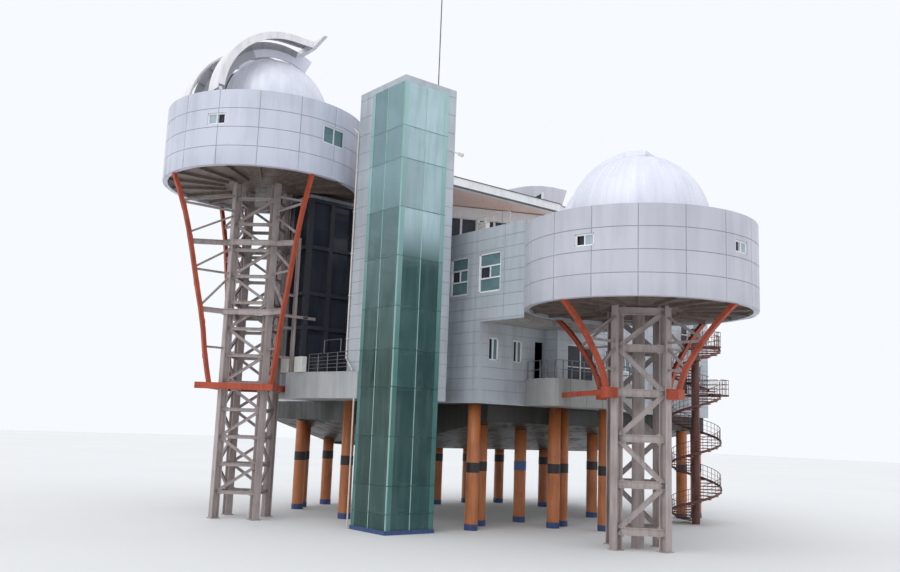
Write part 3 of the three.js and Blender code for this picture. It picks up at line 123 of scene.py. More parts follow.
def choose(piece, test=everything, kind="FACE"):
    """Opens the piece in edit mode with only what passes the test selected."""
    activate(piece)
    bpy.ops.object.mode_set(mode="EDIT")
    bpy.ops.mesh.select_mode(type=kind)
    bpy.ops.mesh.select_all(action="DESELECT")
    bpy.ops.object.mode_set(mode="OBJECT")
    for item in piece.data.edges if kind == "EDGE" else piece.data.polygons:
        if test(item):
            item.select = True
    bpy.ops.object.mode_set(mode="EDIT")


def leave_edit():
    bpy.ops.object.mode_set(mode="OBJECT")


def ends(piece, edge):
    corners = piece.data.vertices
    return corners[edge.vertices[0]].co, corners[edge.vertices[1]].co


def bevel(width, segments=1):
    bpy.ops.mesh.bevel(offset=width, affect="EDGES", segments=segments)


def extrude(way):
    bpy.ops.mesh.extrude_region_move(TRANSFORM_OT_translate={"value": way})


def swell(distance):
    """Raises the selected faces along their normals, or sinks them where the distance is negative."""
    bpy.ops.mesh.extrude_region_shrink_fatten(TRANSFORM_OT_shrink_fatten={"value": distance})


def weld():
    """Closes a swept shape, turns its faces outwards and leaves edit mode."""
    bpy.ops.mesh.select_all(action="SELECT")
    bpy.ops.mesh.remove_doubles(threshold=0.0005)
    bpy.ops.mesh.normals_make_consistent(inside=False)
    leave_edit()


def cut_planes(piece, points, normal, **options):
    """Cuts the whole piece along the planes through the points."""
    choose(piece)
    for point in points:
        bpy.ops.mesh.select_all(action="SELECT")
        bpy.ops.mesh.bisect(plane_co=point, plane_no=normal, **options)
    leave_edit()


def join(name, parts):
    clear_selection()
    for part in parts:
        part.select_set(True)
    bpy.context.view_layer.objects.active = parts[0]
    if len(parts) > 1:
        bpy.ops.object.join()
    piece = bpy.context.view_layer.objects.active
    piece.name = name
    piece.data.name = name
    return piece


def smooth(piece, degrees):
    activate(piece)
    bpy.ops.object.shade_smooth_by_angle(angle=math.radians(degrees))


def set_finish(mesh, finishes):
    """Puts the materials on a mesh and keeps which face has which."""
    marks = [face.material_index for face in mesh.polygons]
    mesh.materials.clear()
    for material in finishes:
        mesh.materials.append(material)
    mesh.polygons.foreach_set("material_index", [min(mark, len(finishes) - 1) for mark in marks])


def finish_piece(piece, finishes, replaced=(), body="building"):
    """Gives a piece its materials and body, and hides the solids that it stands for."""
    set_finish(piece.data, finishes)
    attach(piece, body)
    if replaced:
        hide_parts(*replaced)


def fit(name, parts, finish, replaced=(), body="building"):
    """Joins the parts to one piece of one material."""
    finish_piece(join(name, parts), [finish], replaced, body)


# Stock shapes, each modelled once, one metre long on a one metre square

def keep_as_stock(piece):
    mesh = piece.data.copy()
    bpy.data.objects.remove(piece)
    return mesh


def bar_stock():
    """A square bar with its long edges taken off."""
    bpy.ops.mesh.primitive_cube_add(size=1, location=(0, 0, 0.5))
    bar = settle()
    choose(bar, lambda edge: abs(ends(bar, edge)[0].z - ends(bar, edge)[1].z) > 0.5, "EDGE")
    bevel(0.08)
    leave_edit()
    return keep_as_stock(bar)


def beam_stock():
    """An H section, from a plate cut along its flanges and its web."""
    flange = 0.39
    web = 0.06
    bpy.ops.mesh.primitive_plane_add(size=1, location=(0, 0, 0))
    beam = settle()
    for place in (-flange, flange):
        cut_planes(beam, [(place, 0, 0)], (1, 0, 0))
    for place in (-web, web):
        cut_planes(beam, [(0, place, 0)], (0, 1, 0))
    choose(beam, lambda face: abs(face.center.x) < flange and abs(face.center.y) > web)
    bpy.ops.mesh.delete(type="FACE")
    leave_edit()
    choose(beam)
    extrude((0, 0, 1))
    weld()
    return keep_as_stock(beam)


def rod_stock():
    bpy.ops.mesh.primitive_cylinder_add(vertices=10, radius=0.5, depth=1, location=(0, 0, 0.5))
    rod = settle()
    choose(rod, lambda face: abs(face.normal.z) > 0.5)
    bpy.ops.mesh.inset(thickness=0.1, use_individual=True)
    leave_edit()
    smooth(rod, 40)
    return keep_as_stock(rod)


BAR = bar_stock()
BEAM = beam_stock()
ROD = rod_stock()


def place_stock(stock, matrix):
    piece = bpy.data.objects.new("stock", stock.copy())
    piece.data.transform(matrix)
    bpy.context.scene.collection.objects.link(piece)
    return piece


def axes_matrix(columns):
    """The matrix that has three axes and a place as its columns."""
    matrix = Matrix.Identity(4)
    for i, column in enumerate(columns):
        for k in range(3):
            matrix[k][i] = column[k]
    return matrix


def member(stock, start, end, width, depth, side=(0, 0, 1)):
    """A stock shape from start to end, its width turned towards side."""
    start, end, side = Vector(start), Vector(end), Vector(side)
    run = end - start
    along = run.normalized()
    across = side - along * along.dot(side)
    if across.length < 0.01:
        across = along.orthogonal()
    across.normalize()
    return place_stock(stock, axes_matrix([across * width, along.cross(across) * depth, run, start]))


def rod(start, end, thick):
    return member(ROD, start, end, thick, thick)


def post(foot, height, thick):
    """A square upright bar."""
    return member(BAR, foot, Vector(foot) + Vector((0, 0, height)), thick, thick)


def slab(low, high):
    """A bar filling the box between two corners."""
    low, high = Vector(low), Vector(high)
    middle = (low + high) / 2
    size = high - low
    longest = max(range(3), key=lambda k: size[k])
    start, end = middle.copy(), middle.copy()
    start[longest], end[longest] = low[longest], high[longest]
    side_axis = 0 if longest == 2 else 2
    other_axis = 3 - longest - side_axis
    side = Vector((0, 0, 0))
    side[side_axis] = 1
    return member(BAR, start, end, size[side_axis], size[other_axis], side)


# Nodes of the materials

def add_node(tree, kind, **settings):
    node = tree.nodes.new("ShaderNode" + kind)
    for key, value in settings.items():
        setattr(node, key, value)
    return node


def feed(tree, socket, value):
    """Links the value to the socket, or sets it where it is a plain number or colour."""
    if isinstance(value, bpy.types.NodeSocket):
        tree.links.new(value, socket)
    else:
        socket.default_value = value


def feed_all(tree, node, **values):
    """Feeds the inputs of a node by their names in small letters."""
    for label, value in values.items():
        feed(tree, node.inputs[label.replace("_", " ").title()], value)
    return node


def math_node(tree, operation, first, second):
    node = add_node(tree, "Math", operation=operation)
    feed(tree, node.inputs[0], first)
    feed(tree, node.inputs[1], second)
    return node.outputs[0]


def blend_colours(tree, share, first, second):
    node = add_node(tree, "Mix", data_type="RGBA")
    for place, value in ((0, share), (6, first), (7, second)):
        feed(tree, node.inputs[place], value)
    return node.outputs[2]


def spread(tree, value, low, high, to_low=0.0, to_high=1.0):
    """A soft rise from to_low to to_high while the value goes from low to high."""
    node = add_node(tree, "MapRange", interpolation_type="SMOOTHSTEP")
    for place, amount in enumerate((value, low, high, to_low, to_high)):
        feed(tree, node.inputs[place], amount)
    return node.outputs[0]


def noise(tree, vector, scale, detail):
    return feed_all(tree, add_node(tree, "TexNoise"), vector=vector, scale=scale, detail=detail).outputs[0]


def object_place(tree):
    return add_node(tree, "TexCoord").outputs["Object"]


def split_place(tree, centre=(0, 0, 0)):
    """The place along x, y and z, from the origin or another centre."""
    centred = add_node(tree, "Mapping")
    feed_all(tree, centred, vector=object_place(tree), location=tuple(-c for c in centre))
    split = add_node(tree, "SeparateXYZ")
    tree.links.new(centred.outputs[0], split.inputs[0])
    return split.outputs


def panel_number(tree, around, up):
    return feed_all(tree, add_node(tree, "CombineXYZ"), x=around, y=up).outputs[0]


# Node groups shared by the finishes

def new_group(name, inputs, outputs):
    group = bpy.data.node_groups.new(name, "ShaderNodeTree")
    for label, kind, value in inputs:
        socket = group.interface.new_socket(label, in_out="INPUT", socket_type="NodeSocket" + kind)
        if value is not None:
            socket.default_value = value
    for label, kind in outputs:
        group.interface.new_socket(label, in_out="OUTPUT", socket_type="NodeSocket" + kind)
    return group, group.nodes.new("NodeGroupInput").outputs, group.nodes.new("NodeGroupOutput").inputs


def make_weathering():
    """Rain streaks, soft patches and fine grain over a clean colour."""
    group, taken, given = new_group(
        "weathering",
        [("Color", "Color", (0.5, 0.5, 0.5, 1)), ("Soil", "Color", (0.2, 0.2, 0.2, 1)),
         ("Amount", "Float", 0.3), ("Patch Scale", "Float", 0.6), ("Grain Scale", "Float", 60.0)],
        [("Color", "Color"), ("Mask", "Float"), ("Height", "Float")],
    )
    place = object_place(group)
    stretched = feed_all(group, add_node(group, "Mapping"), vector=place, scale=(1, 1, 0.12)).outputs[0]
    streak_scale = math_node(group, "MULTIPLY", taken["Patch Scale"], 6.0)
    streaks = math_node(group, "MULTIPLY", noise(group, stretched, streak_scale, 4.0), 0.55)
    patches = math_node(group, "MULTIPLY", noise(group, place, taken["Patch Scale"], 5.0), 0.45)
    mask = spread(group, math_node(group, "ADD", streaks, patches), 0.42, 0.66)
    share = math_node(group, "MULTIPLY", mask, taken["Amount"])
    feed(group, given["Color"], blend_colours(group, share, taken["Color"], taken["Soil"]))
    feed(group, given["Mask"], mask)
    feed(group, given["Height"], noise(group, place, taken["Grain Scale"], 2.0))
    return group


def make_panel_tones():
    """A slightly different tone for each panel, from a vector counted in panels."""
    group, taken, given = new_group(
        "panel_tones",
        [("Color", "Color", (0.5, 0.5, 0.5, 1)), ("Vector", "Vector", None), ("Variation", "Float", 0.06)],
        [("Color", "Color")],
    )
    cells = add_node(group, "VectorMath", operation="FLOOR")
    feed(group, cells.inputs[0], taken["Vector"])
    chance = add_node(group, "TexWhiteNoise", noise_dimensions="3D")
    feed(group, chance.inputs["Vector"], cells.outputs[0])
    centred = math_node(group, "SUBTRACT", chance.outputs["Value"], 0.5)
    tone = math_node(group, "ADD", math_node(group, "MULTIPLY", centred, taken["Variation"]), 1.0)
    toned = add_node(group, "VectorMath", operation="SCALE")
    feed(group, toned.inputs[0], taken["Color"])
    feed(group, toned.inputs["Scale"], tone)
    feed(group, given["Color"], toned.outputs[0])
    return group


WEATHERING = make_weathering()
PANEL_TONES = make_panel_tones()


# Ways of counting panels, for a tone of their own

def flat_panels(width, height):
    """Along a straight wall and up it."""
    def count(tree):
        x, y, z = split_place(tree)
        along = math_node(tree, "DIVIDE", math_node(tree, "ADD", x, y), width)
        return panel_number(tree, along, math_node(tree, "DIVIDE", z, height))
    return count


def round_panels(centre, degrees, height, first=0.0):
    """Round a drum or a dome and up it."""
    def count(tree):
        x, y, z = split_place(tree, centre)
        from_first = math_node(tree, "SUBTRACT", math_node(tree, "ARCTAN2", y, x), math.radians(first - 360))
        turn = math_node(tree, "MODULO", from_first, 2 * math.pi)
        around = math_node(tree, "DIVIDE", turn, math.radians(degrees))
        return panel_number(tree, around, math_node(tree, "DIVIDE", z, height))
    return count


def shaft_panes(tree):
    """The panes of the shaft: two to a side and one between each pair of seams."""
    x, y, z = split_place(tree)
    along = math_node(tree, "DIVIDE", math_node(tree, "ADD", x, y), 1.6)
    level = 0.5
    for transom in TRANSOMS:
        level = math_node(tree, "ADD", level, math_node(tree, "GREATER_THAN", z, transom))
    return panel_number(tree, along, level)


# Ways of making a finish, with colours as seen on screen, from 0 to 255

def linear(colour):
    return tuple(((c / 255 + 0.055) / 1.055) ** 2.4 if c > 10 else c / 3294 for c in colour) + (1,)


def new_material(name):
    material = bpy.data.materials.new(name)
    material.use_nodes = True
    tree = material.node_tree
    return material, tree, tree.nodes["Principled BSDF"]


def soiled(tree, shader, colour, soil, amount, patch, rough, panels=None, variation=0.0):
    """Feeds a colour to the shader, with a tone for each panel and a film of dirt that is rougher."""
    if panels:
        tones = add_node(tree, "Group", node_tree=PANEL_TONES)
        colour = feed_all(tree, tones, color=colour, vector=panels(tree), variation=variation).outputs[0]
    film = add_node(tree, "Group", node_tree=WEATHERING)
    feed_all(tree, film, color=colour, soil=soil, amount=amount, patch_scale=patch)
    feed(tree, shader.inputs["Base Color"], film.outputs["Color"])
    feed(tree, shader.inputs["Roughness"], spread(tree, film.outputs["Mask"], 0.0, 1.0, *rough))
    return film


def weathered(name, colour, soil, amount, rough, patch=0.6, metal=0.0, bump=0.1, panels=None, variation=0.06):
    """Paint, sheet or concrete with fine grain."""
    material, tree, shader = new_material(name)
    film = soiled(tree, shader, linear(colour), linear(soil), amount, patch, rough, panels, variation)
    relief = add_node(tree, "Bump")
    feed_all(tree, relief, strength=bump, distance=0.01, height=film.outputs["Height"])
    feed_all(tree, shader, normal=relief.outputs[0], metallic=metal)
    return material


def tinted_glass(name, colour, rough, through, panels, variation):
    """Glass with a tone of its own in each pane and a faint film of dirt."""
    material, tree, shader = new_material(name)
    colour = linear(colour)
    soil = tuple(c * 0.8 + 0.05 for c in colour[:3]) + (1,)
    soiled(tree, shader, colour, soil, 0.35, 0.5, rough, panels, variation)
    feed_all(tree, shader, transmission_weight=through)
    shader.inputs["IOR"].default_value = 1.3
    return material


def sheet_with_painted_reflection(name, low, high, levels, rough, through=None, variation=0.0):
    """A sheet whose tone goes from low to high between two levels, a painted reflection of dark ground below
    and pale sky above, see-through by the given shares.
    """
    material, tree, shader = new_material(name)
    # painted reflection: darker low down where the ground is reflected, paler high up where the sky is
    up = spread(tree, split_place(tree)[2], *levels)
    colour = blend_colours(tree, up, linear(low), linear(high))
    soiled(tree, shader, colour, linear((120, 150, 146)), 0.25, 0.5, rough, shaft_panes, variation)
    shader.inputs["Specular IOR Level"].default_value = 0.25
    if through:
        feed_all(tree, shader, alpha=spread(tree, up, 0.0, 1.0, 1 - through[0], 1 - through[1]))
    return material


# Wall, drum and balcony panels

def drum_panels(name, colour, centre, count, first_joint):
    return weathered(name, colour, (160, 162, 172), 0.35, (0.34, 0.5), 0.3, metal=0.1,
                     panels=round_panels(centre, 360 / count, PANEL_ROW, first_joint))


def balcony_panels(name, colour):
    return weathered(name, colour, (120, 120, 120), 0.35, (0.36, 0.52), 0.35, metal=0.1)


CLADDING = weathered("wall_cladding", (183, 190, 197), (138, 139, 142), 0.35, (0.36, 0.52), 0.35, metal=0.1,
                     panels=flat_panels(2.4, BOARD), variation=0.05)
LEFT_APRON = balcony_panels("left_apron", (170, 172, 174))
RIGHT_APRON = balcony_panels("right_apron", (154, 154, 153))
LEFT_CLADDING = drum_panels("left_drum_panels", (201, 204, 218), LEFT_DRUM, LEFT_PANELS, LEFT_JOINT)
RIGHT_CLADDING = drum_panels("right_drum_panels", (192, 193, 202), RIGHT_DRUM, RIGHT_PANELS, RIGHT_JOINT)
SEALANT = weathered("panel_joint", (156, 158, 164), (124, 125, 130), 0.5, (0.7, 0.8), 2.0)
# Dark grey underside panels, darkened further to paint the shade under the block
UNDERSIDE_PAINTED_SHADE = weathered("underside_panels_painted_shade", (46, 46, 42), (34, 34, 31), 0.5, (0.4, 0.6), 0.4,
                 panels=flat_panels(1.6, 0.8), variation=0.08)
VAULT = weathered("vault_panels", (208, 208, 216), (176, 176, 190), 0.35, (0.4, 0.55), 0.4,
                  panels=flat_panels(0.9, 30), variation=0.08)

# Paint on steel

LATTICE = weathered("lattice_paint", (174, 162, 160), (126, 113, 110), 0.5, (0.45, 0.65), 0.9)
ORANGE = weathered("orange_paint", (174, 72, 42), (108, 48, 36), 0.5, (0.4, 0.6), 0.8)
COLUMN = weathered("column_paint", (188, 114, 68), (132, 80, 54), 0.45, (0.4, 0.6), 0.9)
BLACK_BAND = weathered("black_band", (40, 38, 40), (80, 74, 70), 0.3, (0.5, 0.7), 1.5)
BLUE_BAND = weathered("blue_band", (72, 100, 150), (60, 62, 80), 0.4, (0.5, 0.7), 1.5)
STAIR_PAINT = weathered("stair_paint", (114, 70, 62), (70, 46, 42), 0.5, (0.45, 0.6), 1.2)
RAIL = weathered("rail_steel", (120, 120, 124), (80, 76, 74), 0.4, (0.35, 0.5), 2.0, metal=0.6)
RAIL_PALE = weathered("lift_rail_paint", (188, 184, 172), (140, 132, 120), 0.4, (0.45, 0.6), 1.5)
UNIT = weathered("unit_enamel", (218, 218, 214), (160, 156, 150), 0.3, (0.35, 0.5), 1.5)
PIPE = weathered("cream_pipe", (216, 208, 203), (160, 150, 142), 0.4, (0.4, 0.55), 1.5)

# Window and shaft frames

FRAME = weathered("white_frame", (238, 238, 240), (196, 196, 194), 0.3, (0.35, 0.5), 1.5)
MULLION = weathered("green_mullion", (160, 198, 190), (116, 146, 140), 0.3, (0.3, 0.45), metal=0.1)
HALL_BARS = weathered("hall_bars", (58, 60, 68), (44, 44, 50), 0.4, (0.35, 0.5), 1.0)
# A dark sheet that paints the shade inside the lift shaft
PAINTED_SHADE_LINING = weathered("shaft_painted_shade", (34, 38, 40), (52, 52, 50), 0.5, (0.7, 0.9), 1.0)

# Floors, ceilings and roofs

CONCRETE = weathered("bare_concrete", (168, 164, 160), (112, 108, 104), 0.6, (0.75, 0.9), 0.5, bump=0.3)
PLINTH = weathered("blue_plinth", (56, 80, 128), (36, 44, 66), 0.5, (0.5, 0.7), 1.2)
ROOF = weathered("roof_sheet", (150, 152, 156), (110, 110, 110), 0.5, (0.6, 0.75), 0.5)
TERRACE_FLOOR = weathered("terrace_floor", (214, 212, 210), (176, 172, 168), 0.4, (0.7, 0.85))
COPING = weathered("dark_coping", (84, 84, 88), (60, 58, 58), 0.4, (0.5, 0.65))
# Brown-grey paint under the drums, darkened to paint the shade beneath them
SOFFIT_AND_SHADE = weathered("soffit_paint_and_shade", (108, 94, 86), (74, 62, 56), 0.55, (0.5, 0.7), 0.5,
                   panels=flat_panels(1.8, 50), variation=0.08)
SALMON = weathered("salmon_paint", (255, 224, 212), (232, 190, 172), 0.4, (0.45, 0.6), 0.5,
                   panels=flat_panels(1.2, 2.4))


# Sheet metal of the domes

def dome_sheet(name, centre):
    return weathered(name, (229, 230, 241), (200, 203, 222), 0.4, (0.42, 0.55), 0.25, metal=0.15, bump=0.04,
                     panels=round_panels(centre, 6, 40), variation=0.05)


LEFT_DOME = dome_sheet("left_dome_sheet", LEFT_DRUM)
RIGHT_DOME = dome_sheet("right_dome_sheet", RIGHT_DRUM)
SHUTTER = weathered("shutter_sheet", (238, 236, 238), (190, 188, 190), 0.4, (0.35, 0.5), 0.5, metal=0.1)
# The inside of the near shutter in painted shade, and the inside of the far one in painted light
SHADE_UNDER_SHUTTER = weathered("shade_under_shutter", (154, 154, 160), (120, 120, 126), 0.5, (0.5, 0.65))
FAR_INSIDE_PAINTED_LIGHT = weathered("far_inside_painted_light", (244, 240, 242), (214, 208, 208), 0.4, (0.5, 0.65))
# Grey that paints the shade on the arch feet under the shutters
ARCH_FOOT_PAINTED_SHADE = weathered("arch_foot_painted_shade", (186, 186, 192), (150, 150, 156), 0.4, (0.5, 0.65))
# Painted light on the upright sides of the right dome's shutter
HOOD_SIDE_PAINTED_LIGHT = weathered("hood_side_painted_light", (234, 236, 244), (206, 208, 218), 0.4, (0.4, 0.55))

# Glass: on the shaft it goes from dark below to pale above, with a sharper change on the east side: a painted
# reflection of the dark ground below and the pale sky above, with the horizon's edge on the east side

SOUTH_GLASS = sheet_with_painted_reflection("south_glass", (60, 88, 84), (160, 190, 196), (8.0, 24.0), (0.05, 0.14),
                          through=(0.36, 0.5), variation=0.4)
EAST_GLASS = sheet_with_painted_reflection("east_glass", (66, 98, 98), (200, 226, 232), (14.0, 17.5), (0.05, 0.14),
                         through=(0.36, 0.46), variation=0.4)
EDGE_GLASS = sheet_with_painted_reflection("edge_glass", (74, 120, 115), (156, 190, 189), (6.0, 24.0), (0.1, 0.2),
                         variation=0.25)
SEAM = sheet_with_painted_reflection("glass_seam", (44, 70, 68), (122, 150, 150), (8.0, 24.0), (0.5, 0.6))
PANE = tinted_glass("teal_pane", (104, 134, 138), (0.05, 0.12), 0.1, flat_panels(0.9, 0.8), 0.3)
PALE_PANE = tinted_glass("pale_pane", (176, 192, 200), (0.05, 0.12), 0.1, flat_panels(0.9, 0.8), 0.2)
HALL_GLASS = tinted_glass("dark_glass", (54, 58, 70), (0.03, 0.1), 0.05, flat_panels(1.3, 2.2), 0.6)


# Finishes of the solids that stay: wall panels, where no other is given here

CARRIED = [
    (PLINTH, ["shaft_plinth"]),
    (SOUTH_GLASS, ["shaft_glass_south", "shaft_glass_rear"]),
    (EAST_GLASS, ["shaft_glass_east"]),
    (MULLION, ["shaft_frame"]),
    (RAIL, ["lightning_rod", "left_railing", "right_railing"]),
    (UNDERSIDE_PAINTED_SHADE, ["undercroft"]),
    (CONCRETE, ["deck_floor", "upper_floor"]),
    (TERRACE_FLOOR, ["roof_slab"]),
    (HALL_BARS, ["hall_frame"]),
    (HALL_GLASS, ["hall_glazing"]),
    (ROOF, ["hall_roof", "left_drum_roof", "right_drum_roof"]),
    (FRAME, ["terrace_walls"]),
    (SALMON, ["canopy_roof"]),
    (VAULT, ["vault_roof"]),
    (LATTICE, ["left_tower", "right_tower"]),
    (ORANGE, ["left_orange_frame", "right_strut_front_left", "right_strut_front_right",
              "right_strut_rear_right", "right_strut_rear_left"]),
    (SOFFIT_AND_SHADE, ["left_drum_floor", "right_drum_floor"]),
    (SHUTTER, ["left_slit_frame", "near_shutter", "far_shutter"]),
    (RIGHT_DOME, ["right_dome_shell", "right_dome_shutter"]),
    (LEFT_DOME, ["left_dome_shell"]),
    (STAIR_PAINT, ["spiral_stair"]),
    (LEFT_CLADDING, ["left_drum_wall_1", "left_drum_wall_2", "left_drum_wall_3"]),
    (RIGHT_CLADDING, ["right_drum_wall_1", "right_drum_wall_2", "right_drum_wall_3"]),
]


def dress_carried_nodes():
    own = {name: finish for finish, names in CARRIED for name in names}
    for name, node in nodes.items():
        node.data.materials.clear()
        node.data.materials.append(own.get(name, CLADDING))


# Walls: a skin of each solid, with its panel joints cut in

ON_FACE = 0.002
LEVEL = 0.001
BOARD_GROOVE = (0.03, 0.018)
DRUM_GROOVE = (0.036, 0.022)
DRUM_FOOT_ROUNDING = 0.04


def skin_of(name, node_names, inside=None):
    """A merged copy of the walls that the joints are cut into, without the faces inside it."""
    copies = []
    for node_name in node_names:
        copy = bpy.data.objects.new(name, nodes[node_name].data.copy())
        bpy.context.scene.collection.objects.link(copy)
        copies.append(copy)
    piece = join(name, copies)
    bpy.ops.mesh.customdata_custom_splitnormals_clear()
    choose(piece)
    bpy.ops.mesh.remove_doubles(threshold=0.0008)
    leave_edit()
    if inside:
        choose(piece, inside)
        bpy.ops.mesh.delete(type="ONLY_FACE")
        leave_edit()
    choose(piece)
    bpy.ops.mesh.normals_make_consistent(inside=False)
    bpy.ops.mesh.dissolve_limited(angle_limit=math.radians(0.6))
    leave_edit()
    face_outwards(piece)
    return piece


def face_outwards(piece):
    """Turns the whole skin over where its top looks down."""
    top = max(piece.data.polygons, key=lambda face: face.center.z + 0.0001 * abs(face.normal.z))
    if top.normal.z < 0:
        choose(piece)
        bpy.ops.mesh.flip_normals()
        leave_edit()


def score_joints(piece, on_joint, width, depth):
    """Opens the edges that pass the test into grooves."""
    choose(piece, lambda edge: on_joint(*ends(piece, edge)), "EDGE")
    bevel(width / 2)
    bpy.ops.mesh.select_mode(type="FACE")
    leave_edit()
    length = {edge.key: (ends(piece, edge)[0] - ends(piece, edge)[1]).length for edge in piece.data.edges}

    def is_strip(face):
        return face.area < width * 0.7 * sum(length[key] for key in face.edge_keys)

    strips = {face.index for face in piece.data.polygons if face.select and is_strip(face)}
    choose(piece, lambda face: face.index in strips)
    swell(-depth)
    leave_edit()
    for face in piece.data.polygons:
        face.material_index = 1 if face.select else 0


def near_any(value, marks):
    return any(abs(value - mark) < 0.004 for mark in marks)


def clad_drum(side, centre, finish, count, first_joint):
    """Four rows of curved panels, count panels round, with a small rounded edge at the foot."""
    walls = [f"{side}_drum_wall_{i}" for i in (1, 2, 3)]
    rows = [centre.z + PANEL_ROW * k for k in range(1, 4)]
    step = 360 / count

    def reach(place):
        return math.hypot(place.x - centre.x, place.y - centre.y)

    def between_lengths(face):
        radial = Vector((face.center.x - centre.x, face.center.y - centre.y, 0)).normalized()
        return face.area > 0.5 and abs(face.normal.z) < 0.1 and abs(face.normal.dot(radial)) < 0.1

    def on_joint(a, b):
        if min(reach(a), reach(b)) < DRUM_RADIUS - 0.03:
            return False
        if abs(a.z - b.z) < LEVEL:
            return near_any(a.z, rows)
        turn = math.degrees(math.atan2(a.y - centre.y, a.x - centre.x)) - first_joint
        upright = math.hypot(a.x - b.x, a.y - b.y) < 0.01
        return upright and abs((turn + step / 2) % step - step / 2) < 0.2

    def at_foot(end):
        return abs(end.z - centre.z) < ON_FACE and reach(end) > DRUM_RADIUS - 0.03

    piece = skin_of(side + "_drum_cladding", walls, between_lengths)
    cut_planes(piece, [(0, 0, z) for z in rows], (0, 0, 1))
    for k in range(count):
        turn = math.radians(first_joint + step * k)
        cut_planes(piece, [tuple(centre)], (-math.sin(turn), math.cos(turn), 0))
    score_joints(piece, on_joint, *DRUM_GROOVE)
    choose(piece, lambda edge: all(at_foot(end) for end in ends(piece, edge)), "EDGE")
    bevel(DRUM_FOOT_ROUNDING, 2)
    leave_edit()
    smooth(piece, 25)
    finish_piece(piece, [finish, SEALANT], walls)


def board_rows(piece):
    """The levels of the joints between boards on one wall."""
    low = min(v.co.z for v in piece.data.vertices)
    high = max(v.co.z for v in piece.data.vertices)
    rows = [WALL_TOP - BOARD * k for k in range(1, 20)] + [WALL_TOP + PANEL_ROW * k for k in range(8)]
    return [level for level in rows if low + 0.2 < level < high - 0.1]


def clad_flat(name, node, finish, outer, joints, along, boards=True):
    """Upright joints at their places along the wall, and board joints, on the faces that outer allows."""
    piece = skin_of(name, [node])
    rows = board_rows(piece) if boards else []
    shortest = LEVEL if boards else 0.3
    normal = Vector(along)
    cut_planes(piece, [(0, 0, z) for z in rows], (0, 0, 1))
    cut_planes(piece, [normal * place for place in joints], normal)

    def on_joint(a, b):
        if not (outer(a) and outer(b)):
            return False
        if abs(a.z - b.z) < shortest:
            return near_any(a.z, rows)
        return abs((a - b).dot(normal)) <= LEVEL and near_any(a.dot(normal), joints)

    score_joints(piece, on_joint, *BOARD_GROOVE)
    finish_piece(piece, [finish, SEALANT], [node])


def clad_wall(name, node, outer, joints=(), along=SOUTH_SIDE):
    clad_flat(name, node, CLADDING, outer, joints, along)


def on_planes(**places):
    """Says whether a point is on one of the outer faces."""
    return lambda p: any(abs(getattr(p, axis) - place) < ON_FACE for axis, place in places.items())


def clad_block():
    clad_wall("front_wall_boards", "front_wall", on_planes(y=FRONT), [-4.5, 0.0, 2.0, 4.4])
    clad_wall("niche_boards", "niche_wall", on_planes(x=NICHE_EAST, y=NICHE_NORTH))
    clad_wall("east_wall_boards", "east_wall", on_planes(x=EAST), [13.2, 15.3], EAST_SIDE)
    clad_wall("stair_corner_boards", "stair_corner_wall", on_planes(x=RECESS_EAST, y=RECESS_SOUTH))
    clad_wall("north_wall_boards", "north_wall", on_planes(y=NORTH), [-13.3, -9.7, -6.1, -1.9])
    clad_wall("west_wall_boards", "west_wall", on_planes(x=WEST), [5.2, 9.4, 13.9, 18.2, 22.5], EAST_SIDE)
    clad_wall("southwest_boards", "southwest_wall", on_planes(y=SOUTHWEST, x=HALL_EAST))
    clad_wall("bridge_boards", "bridge_north_wall", on_planes(y=BRIDGE_NORTH))


def clad_core():
    clad_wall("core_pier_boards", "core_west_pier", lambda p: p.y < -1.57 or p.x < -2.92)
    clad_wall("core_north_boards", "core_north_wall", lambda p: p.x > 1.62 or p.y > 2.12)
    clad_wall("link_boards", "core_link", lambda p: p.x > -0.41 or p.x < -2.59)


def clad_balconies():
    clad_flat("left_balcony_panels", "left_balcony", LEFT_APRON, lambda p: p.y < -2.84,
              [-10.1, -8.75, -7.4, -6.05, -4.7, -3.35], SOUTH_SIDE, boards=False)
    clad_flat("right_balcony_panels", "right_balcony", RIGHT_APRON, lambda p: p.x > 3.5 and p.z > 7,
              [7.6, 8.95, 10.3, 11.65], EAST_SIDE, boards=False)


# Windows and doors

FRAME_BACK = 0.1
PANE_BACK = 0.11
SLID_BACK = 0.16
PANE_THICK = 0.02
LOW_WIDTH = 1.5
TALL_WIDTH = 1.88

# Drum windows, each by its width, sill and height

LEFT_SMALL_WINDOW = (1.13, 2.36, 0.67)
LEFT_LARGE_WINDOW = (1.76, 2.004, 1.09)
RIGHT_WINDOW = (1.03, 2.46, 0.61)


class Opening:
    """A hole in a wall: its lower left corner on the outer face, the way along it and its size."""

    def __init__(self, corner, along, width, height):
        self.corner = Vector(corner)
        self.along = Vector(along).normalized()
        self.out = self.along.cross(Vector((0, 0, 1)))
        self.width = width
        self.height = height

    def point(self, across, up, back):
        return self.corner + self.along * across + Vector((0, 0, up)) - self.out * back

    def bar(self, start, end, thick, deep):
        first, last = self.point(*start, FRAME_BACK), self.point(*end, FRAME_BACK)
        return member(BAR, first, last, deep, thick, self.out)

    def sash(self, left, right, low, high, thick, deep):
        """Four bars round one light."""
        half = thick / 2
        return [
            self.bar((left, low + half), (right, low + half), thick, deep),
            self.bar((left, high - half), (right, high - half), thick, deep),
            self.bar((left + half, low), (left + half, high), thick, deep),
            self.bar((right - half, low), (right - half, high), thick, deep),
        ]

    def pane(self, left, right, low, high, back=PANE_BACK):
        middle = (left + right) / 2
        foot, head = self.point(middle, low, back), self.point(middle, high, back)
        return member(BAR, foot, head, PANE_THICK, right - left, self.out)

    def shade_backing(self, edge, back):
        """A dark sheet behind the whole window, painting the shade of the room inside."""
        return self.pane(edge, self.width - edge, edge, self.height - edge, back)


